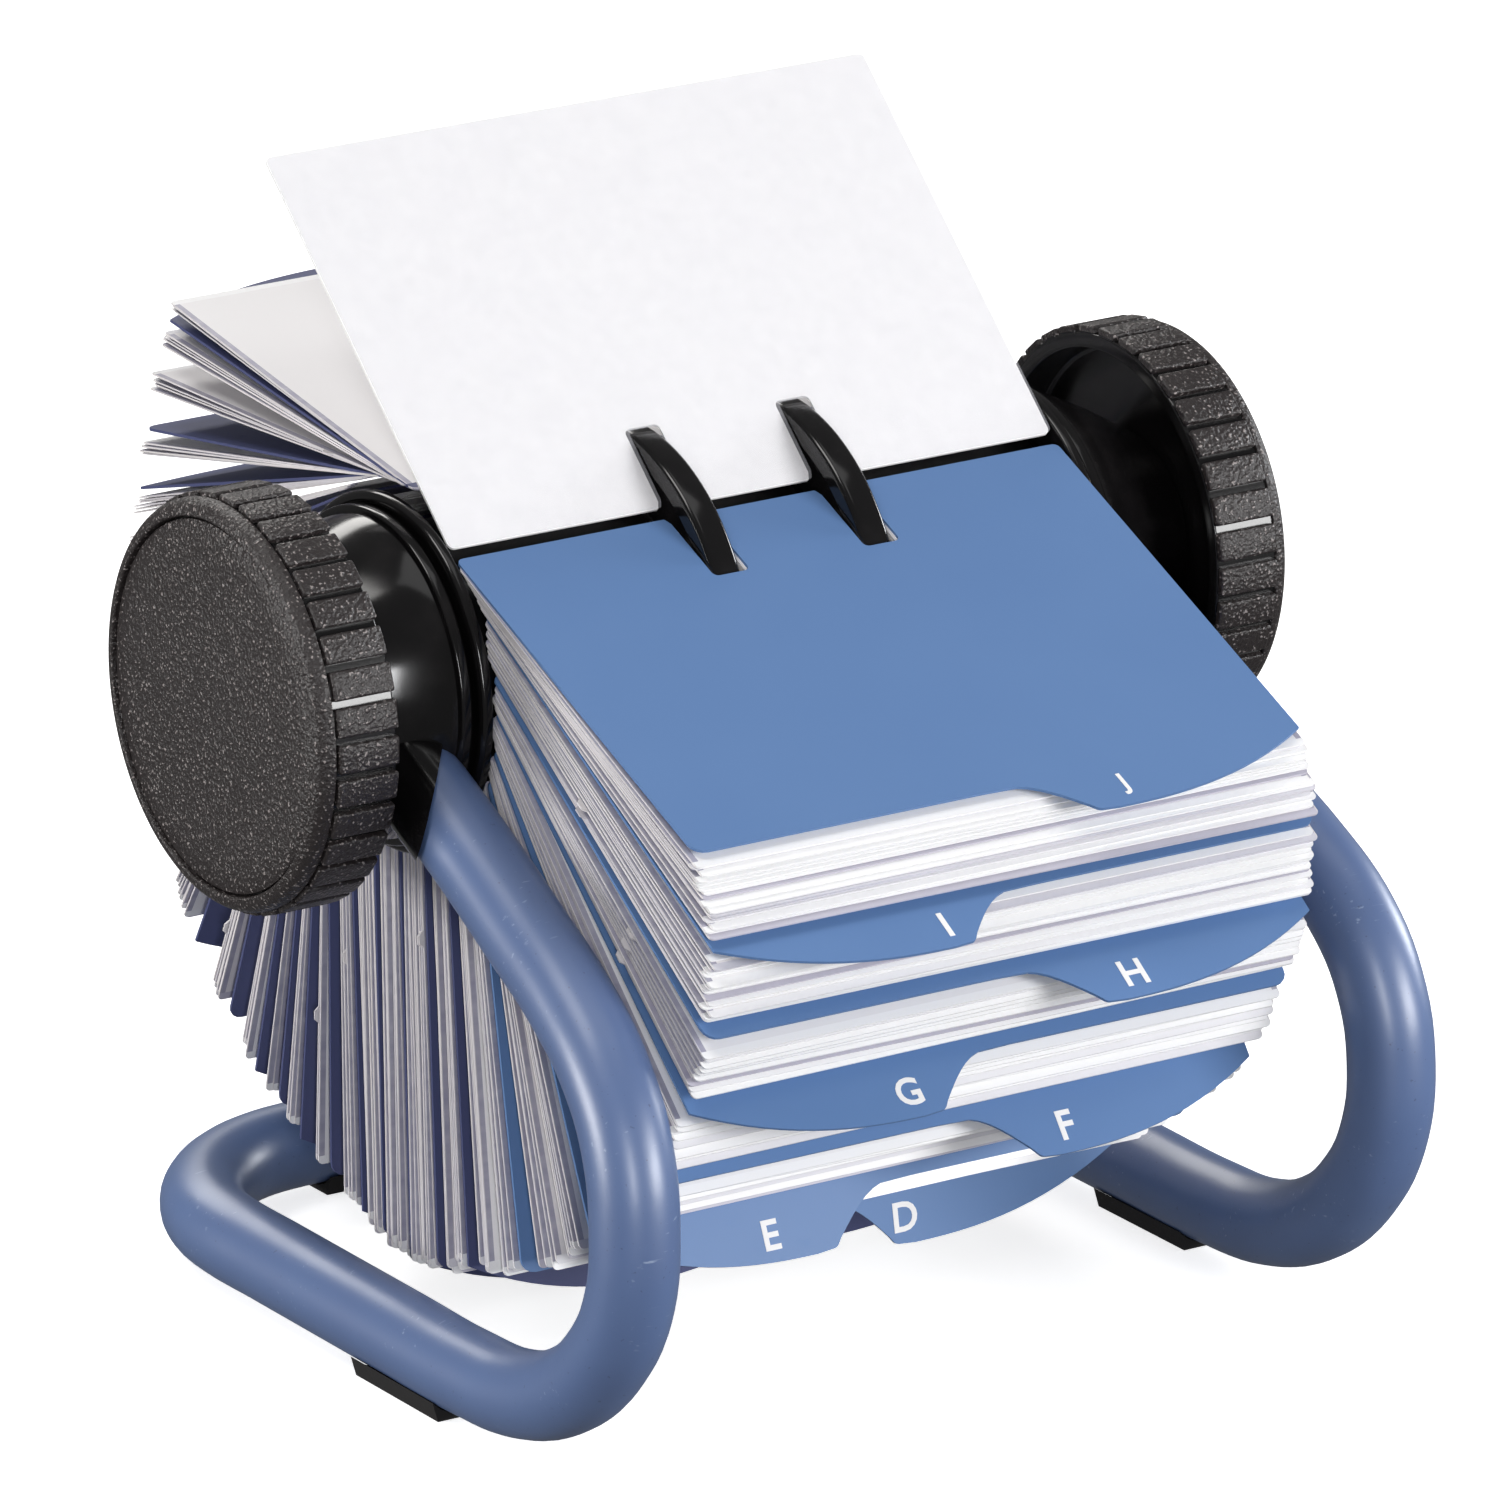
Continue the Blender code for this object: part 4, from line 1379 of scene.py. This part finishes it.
@dataclass
class SleevePacks:
    """The packs of sleeved cards between the dividers."""

    finishes: Finishes
    seed: int = 11
    shape: SheetShape = SheetShape(
        half_width=50.9, height=66.9, corner=0.8, slot_half=2.9, thickness=0.24, bends=(28.0, 42.0, 55.0)
    )
    bump_places: tuple[float, ...] = (18.0, 30.0, 44.0, 56.0)
    slip: float = 0.6
    skew: float = 0.45
    bow: float = 0.12
    spread: float = 0.2
    clear: float = 0.75
    most_margin: float = 0.3
    first_step: float = 0.75
    unevenness: float = 0.15
    bunch_edge: float = 0.04
    bump_share: float = 0.07

    def tree(self) -> GeometryRecipe:
        """The tree that hangs one sleeve on each point, a little out of line, and bows it.

        Returns:
            The finished tree.
        """
        recipe = GeometryRecipe(
            "sleeve_fan",
            {"Sleeve": "NodeSocketObject", "Bumped": "NodeSocketObject", "Slip": "NodeSocketFloat",
             "Skew": "NodeSocketFloat", "Bow": "NodeSocketFloat", "Seed": "NodeSocketInt",
             "Finish": "NodeSocketMaterial"},
        )
        seed = recipe.given("Seed")

        def chance(low: Any, high: Any, step: int) -> Wire:
            """A random value for each sleeve. Args: low: least. high: most. step: tells it apart."""
            return recipe.node(
                "FunctionNodeRandomValue", {"data_type": "FLOAT"}, {2: low, 3: high, "Seed": seed + step}, 1
            )

        bumped = recipe.attribute("bumped", "FLOAT")
        fan = recipe.node("GeometryNodeJoinGeometry")
        for label, chosen in (("Bumped", bumped > 0.5), ("Sleeve", 1 - (bumped > 0.5))):
            sleeve = recipe.node("GeometryNodeObjectInfo", {}, {"Object": recipe.given(label)}, "Geometry")
            hung = recipe.node(
                "GeometryNodeInstanceOnPoints", {},
                {"Points": recipe.given("Geometry"), "Selection": chosen, "Instance": sleeve,
                 "Rotation": recipe.attribute("heading", "FLOAT_VECTOR")},
            )
            recipe.tree.links.new(hung.socket, fan.socket.node.inputs["Geometry"])
        slip, skew = recipe.given("Slip"), recipe.given("Skew")
        out_of_line = recipe.node(
            "ShaderNodeCombineXYZ", {},
            {"X": chance(-1.0, 1.0, 1) * slip * 0.5, "Y": chance(-1.0, 1.0, 2) * slip},
        )
        slipped = recipe.node(
            "GeometryNodeTranslateInstances", {},
            {"Instances": fan, "Translation": out_of_line, "Local Space": True},
        )
        yaw = recipe.node("ShaderNodeCombineXYZ", {}, {"Z": chance(-1.0, 1.0, 3) * skew})
        skewed = recipe.node(
            "GeometryNodeRotateInstances", {}, {"Instances": slipped, "Rotation": yaw, "Local Space": True}
        )
        toned = skewed
        marks = {
            TONE: chance(0.0, 1.0, 4), "curl": chance(-1.0, 1.0, 5), "twist": chance(-1.0, 1.0, 6),
        }
        for label, value in marks.items():
            toned = recipe.node(
                "GeometryNodeStoreNamedAttribute", {"data_type": "FLOAT", "domain": "INSTANCE"},
                {"Geometry": toned, "Name": label, "Value": value},
            )
        real = recipe.node("GeometryNodeRealizeInstances", {}, {"Geometry": toned})
        chart = recipe.attribute(SHEET_CHART, "FLOAT_VECTOR")
        half_width, height = self.shape.half_width, self.shape.height
        across = recipe.node("ShaderNodeSeparateXYZ", {}, {0: chart}, "X") * (CHART_SPAN / half_width)
        outward = recipe.node("ShaderNodeSeparateXYZ", {}, {0: chart}, "Y") * (CHART_SPAN / height)
        curl = recipe.attribute("curl", "FLOAT") + recipe.attribute("twist", "FLOAT") * across
        lift = curl * outward * outward * recipe.given("Bow")
        towards = recipe.attribute("towards", "FLOAT_VECTOR")
        offset = recipe.node(
            "ShaderNodeVectorMath", {"operation": "SCALE"}, {0: towards, "Scale": lift}
        )
        bowed = recipe.node("GeometryNodeSetPosition", {}, {"Geometry": real, "Offset": offset})
        recipe.close(bowed)
        return recipe

    def stations(self, first: Station, second: Station, source: random.Random) -> list[Station]:
        """The sleeves between two dividers.

        Args:
            first: the divider that the gap starts at.
            second: the divider that it ends at.
            source: the random source.

        Returns:
            Each sleeve's station.
        """
        count = first.sleeves
        found = []
        arc = math.radians(abs(second.ring - first.ring)) * min(first.reach, second.reach)
        margin = min(self.most_margin, self.clear / arc)
        for number in range(count):
            step = number + self.first_step + source.uniform(-self.unevenness, self.unevenness)
            even = step / (count + 0.5)
            bunch = math.floor(even * first.bunches)
            within = even * first.bunches - bunch
            start = self.bunch_edge + max(0.0, -first.openness)
            filled = 1 - self.bunch_edge - abs(first.openness)
            share = (bunch + start + within * filled) / first.bunches
            lean_share = margin + share * (1 - 2 * margin)
            even = margin + even * (1 - 2 * margin)
            ring_share = lean_share + (even - lean_share) * self.spread
            found.append(
                Station(
                    "sleeve",
                    first.ring + (second.ring - first.ring) * ring_share,
                    first.lean + (second.lean - first.lean) * lean_share,
                    first.reach + (second.reach - first.reach) * ring_share,
                    slide=first.push,
                )
            )
        return found

    def carrier(self, stations: Sequence[Station], source: random.Random) -> bpy.types.Object:
        """The points that carry one pack.

        Args:
            stations: its sleeves.
            source: the random source.

        Returns:
            The object that holds the points.
        """
        cloud = bpy.data.meshes.new("pack")
        places = [station.place() for station in stations]
        cloud.from_pydata([place.translation for place in places], [], [])
        heading = cloud.attributes.new("heading", "FLOAT_VECTOR", "POINT")
        heading.data.foreach_set("vector", [v for place in places for v in place.to_euler()])
        towards = cloud.attributes.new("towards", "FLOAT_VECTOR", "POINT")
        towards.data.foreach_set("vector", [v for place in places for v in place.col[2].xyz])
        bumped = cloud.attributes.new("bumped", "FLOAT", "POINT")
        bumped.data.foreach_set("value", [float(source.random() < self.bump_share) for _ in places])
        return add_object(cloud, "pack")

    def sample(self, bump_place: float) -> bpy.types.Object:
        """One sleeve to copy.

        Args:
            bump_place: its thumb bump's distance outward, 0 for none.

        Returns:
            The sleeve's object.
        """
        bump = {"notch_half": 1.3, "notch_place": bump_place} if bump_place else {}
        solid = replace(self.shape, **bump).solid()
        return add_object(to_mesh(solid, "one_sleeve", settle=False, smooth=0.0), "one_sleeve")

    def build(self) -> None:
        """Adds every pack."""
        source = random.Random(self.seed)
        sleeve = self.sample(0.0)
        tree = self.tree()
        packs: dict[str, list[Station]] = {name: [] for name in PACKS}
        ends = iter(PACKS)
        current = next(ends)
        for first, second in zip(FAN, (*FAN[1:], FAN_END)):
            packs[current] += self.stations(first, second, source)
            if current.endswith(f"_{second.label}"):
                current = next(ends)
        for number, (name, stations) in enumerate(packs.items()):
            bumped = self.sample(self.bump_places[number % len(self.bump_places)])
            values = {
                "Sleeve": sleeve, "Bumped": bumped, "Seed": self.seed + 20 * number,
                "Slip": self.slip, "Skew": math.radians(self.skew), "Bow": self.bow,
                "Finish": self.finishes.sleeve,
            }
            mesh = tree.run(self.carrier(stations, source), f"pack_{name}", values)
            bpy.data.objects.remove(bumped)
            add_piece(mesh, f"pack_{name}", self.finishes.sleeve, Body.WHEEL, (f"sleeves_{name}",))
        bpy.data.objects.remove(sleeve)


@dataclass
class RaisedCard:
    """The card that stands up, with its clear sleeve in front."""

    finishes: Finishes
    card: SheetShape = SheetShape(corner=0.9, thickness=0.38, slot_half=2.9)
    film: SheetShape = SheetShape(
        half_width=50.9, height=66.7, corner=1.2, thickness=0.12, slot_half=2.6, slot_depth=12.9
    )
    film_gap: float = 0.55

    def build(self) -> None:
        """Adds the card and its sleeve."""
        card = self.card.mesh(RAISED, "standing_card")
        add_piece(
            card, "standing_card", self.finishes.card_white, Body.RAISED, ("raised_card",)
        )
        plate = self.film.solid()
        plate.transform(RAISED.place() @ Matrix.Translation((0, 0, self.film_gap)))
        film = to_mesh(plate, "standing_film", smooth=0.0)
        add_piece(
            film, "standing_film", self.finishes.clear_film, Body.RAISED, ("raised_sleeve",)
        )


# -------------------------------------------------------------------------------------------- hardware


@dataclass
class Hardware:
    """The frame's own small parts, which keep their shape and get a finish."""

    finishes: Finishes
    groups: tuple[tuple[str, str], ...] = (
        ("axle", "steel"), ("axle_bush_", "white_plastic"), ("clutch_ring_", "felt"),
        ("clutch_spring_", "steel"), ("tube_screw_", "steel"), ("knob_washer_", "steel"),
        ("knob_screw_", "steel"), ("foot_pad_", "pad_rubber"),
    )

    def dress(self) -> None:
        """Gives every kept node its finish."""
        for name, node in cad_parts.items():
            for start, slot in self.groups:
                if name == start or (start.endswith("_") and name.startswith(start)):
                    for place in node.material_slots:
                        place.material = getattr(self.finishes, slot)
                    LOG.info("%s: frame node, dressed in %s", name, slot)


# ---------------------------------------------------------------------------------------------- studio


@dataclass
class Studio:
    """The camera, the plain floor and the soft lights."""

    camera_place: tuple[float, float, float] = (-1.0792, -1.6643, 0.6445)
    azimuth: float = -33.16
    elevation: float = 18.55
    roll: float = 0.17
    lens: float = 350.2
    floor_half: float = 9.0
    sky: float = 0.15
    floor_glow: float = 0.72

    def build(self) -> None:
        """Adds the camera, the floor, the sky and the lights."""
        self.add_camera()
        self.add_floor()
        self.add_sky()
        self.add_light("top_left", (-0.8, 0.05, 1.55), (0.7, 0.7), 9.0, (1.0, 0.985, 0.96))
        self.add_light("back", (0.25, 1.5, 1.0), (1.2, 0.5), 12.0, (1.0, 0.98, 0.95))
        self.add_light("back_left", (-1.6, 0.5, 0.12), (0.7, 0.4), 17.0, (1.0, 0.99, 0.98))
        self.add_light("front_right", (0.9, -1.5, 0.3), (0.8, 0.5), 22.0, (1.0, 1.0, 1.0))
        self.add_light("front_left", (-0.85, -1.5, 0.33), (0.14, 0.6), 9.0, (0.98, 0.985, 1.0))
        self.add_light("right", (1.7, 0.0, 0.35), (0.5, 0.5), 14.0, (0.95, 0.97, 1.0))
        self.add_light("top", (0.3, -0.3, 1.8), (1.0, 1.0), 3.0, (1.0, 1.0, 1.0))

    def add_camera(self) -> None:
        """Adds the camera."""
        data = bpy.data.cameras.new("camera")
        data.lens = self.lens
        camera = bpy.data.objects.new("camera", data)
        turn = Matrix.Rotation(math.radians(self.azimuth), 4, "Z")
        tilt = Matrix.Rotation(math.radians(90 - self.elevation), 4, "X")
        roll = Matrix.Rotation(math.radians(self.roll), 4, "Z")
        camera.matrix_world = Matrix.Translation(AXLE + Vector(self.camera_place)) @ turn @ tilt @ roll
        bpy.context.scene.collection.objects.link(camera)
        bpy.context.scene.camera = camera

    def add_floor(self) -> None:
        """Adds a plain pale floor."""
        plane = bmesh.new()
        bmesh.ops.create_grid(plane, x_segments=1, y_segments=1, size=self.floor_half)
        mesh = bpy.data.meshes.new("floor")
        plane.to_mesh(mesh)
        plane.free()
        recipe = Recipe("floor")
        mesh.materials.append(
            recipe.done(
                {"Base Color": srgb(250, 250, 250), "Roughness": 0.9, "Specular IOR Level": 0.1,
                 "Emission Color": srgb(255, 255, 255), "Emission Strength": self.floor_glow}
            )
        )
        floor = add_object(mesh, "floor")
        floor.visible_diffuse = False
        floor.visible_glossy = False

    def add_sky(self) -> None:
        """Adds an even pale light from all round."""
        world = bpy.data.worlds.new("studio")
        world.use_nodes = True
        background = world.node_tree.nodes["Background"]
        background.inputs["Color"].default_value = (1.0, 1.0, 1.0, 1.0)
        background.inputs["Strength"].default_value = self.sky
        bpy.context.scene.world = world
        bpy.context.scene.view_settings.view_transform = "Standard"

    def add_light(
        self,
        name: str,
        place: Sequence[float],
        size: tuple[float, float],
        power: float,
        tint: Sequence[float],
    ) -> None:
        """Adds a soft light that faces the axle.

        Args:
            name: its name.
            place: where it is from the axle, in metres.
            size: its width and height, in metres.
            power: in watts.
            tint: its colour.
        """
        data = bpy.data.lights.new(name, "AREA")
        data.shape = "RECTANGLE"
        data.size, data.size_y = size
        data.energy = power
        data.color = tint
        light = bpy.data.objects.new(name, data)
        aim = Vector(place).to_track_quat("Z", "Y").to_matrix().to_4x4()
        light.matrix_world = Matrix.Translation(AXLE + Vector(place)) @ aim
        bpy.context.scene.collection.objects.link(light)


def main() -> None:
    """Builds the card file."""
    Studio().build()
    finishes = Finishes()
    TubeFrame(finishes).build()
    for side in Side:
        Hub(finishes).build(side)
        Knob(finishes).build(side)
    Drum(finishes).build()
    IndexDividers(finishes).build()
    SleevePacks(finishes).build()
    RaisedCard(finishes).build()
    Hardware(finishes).dress()


if __name__ == "__main__":
    main()
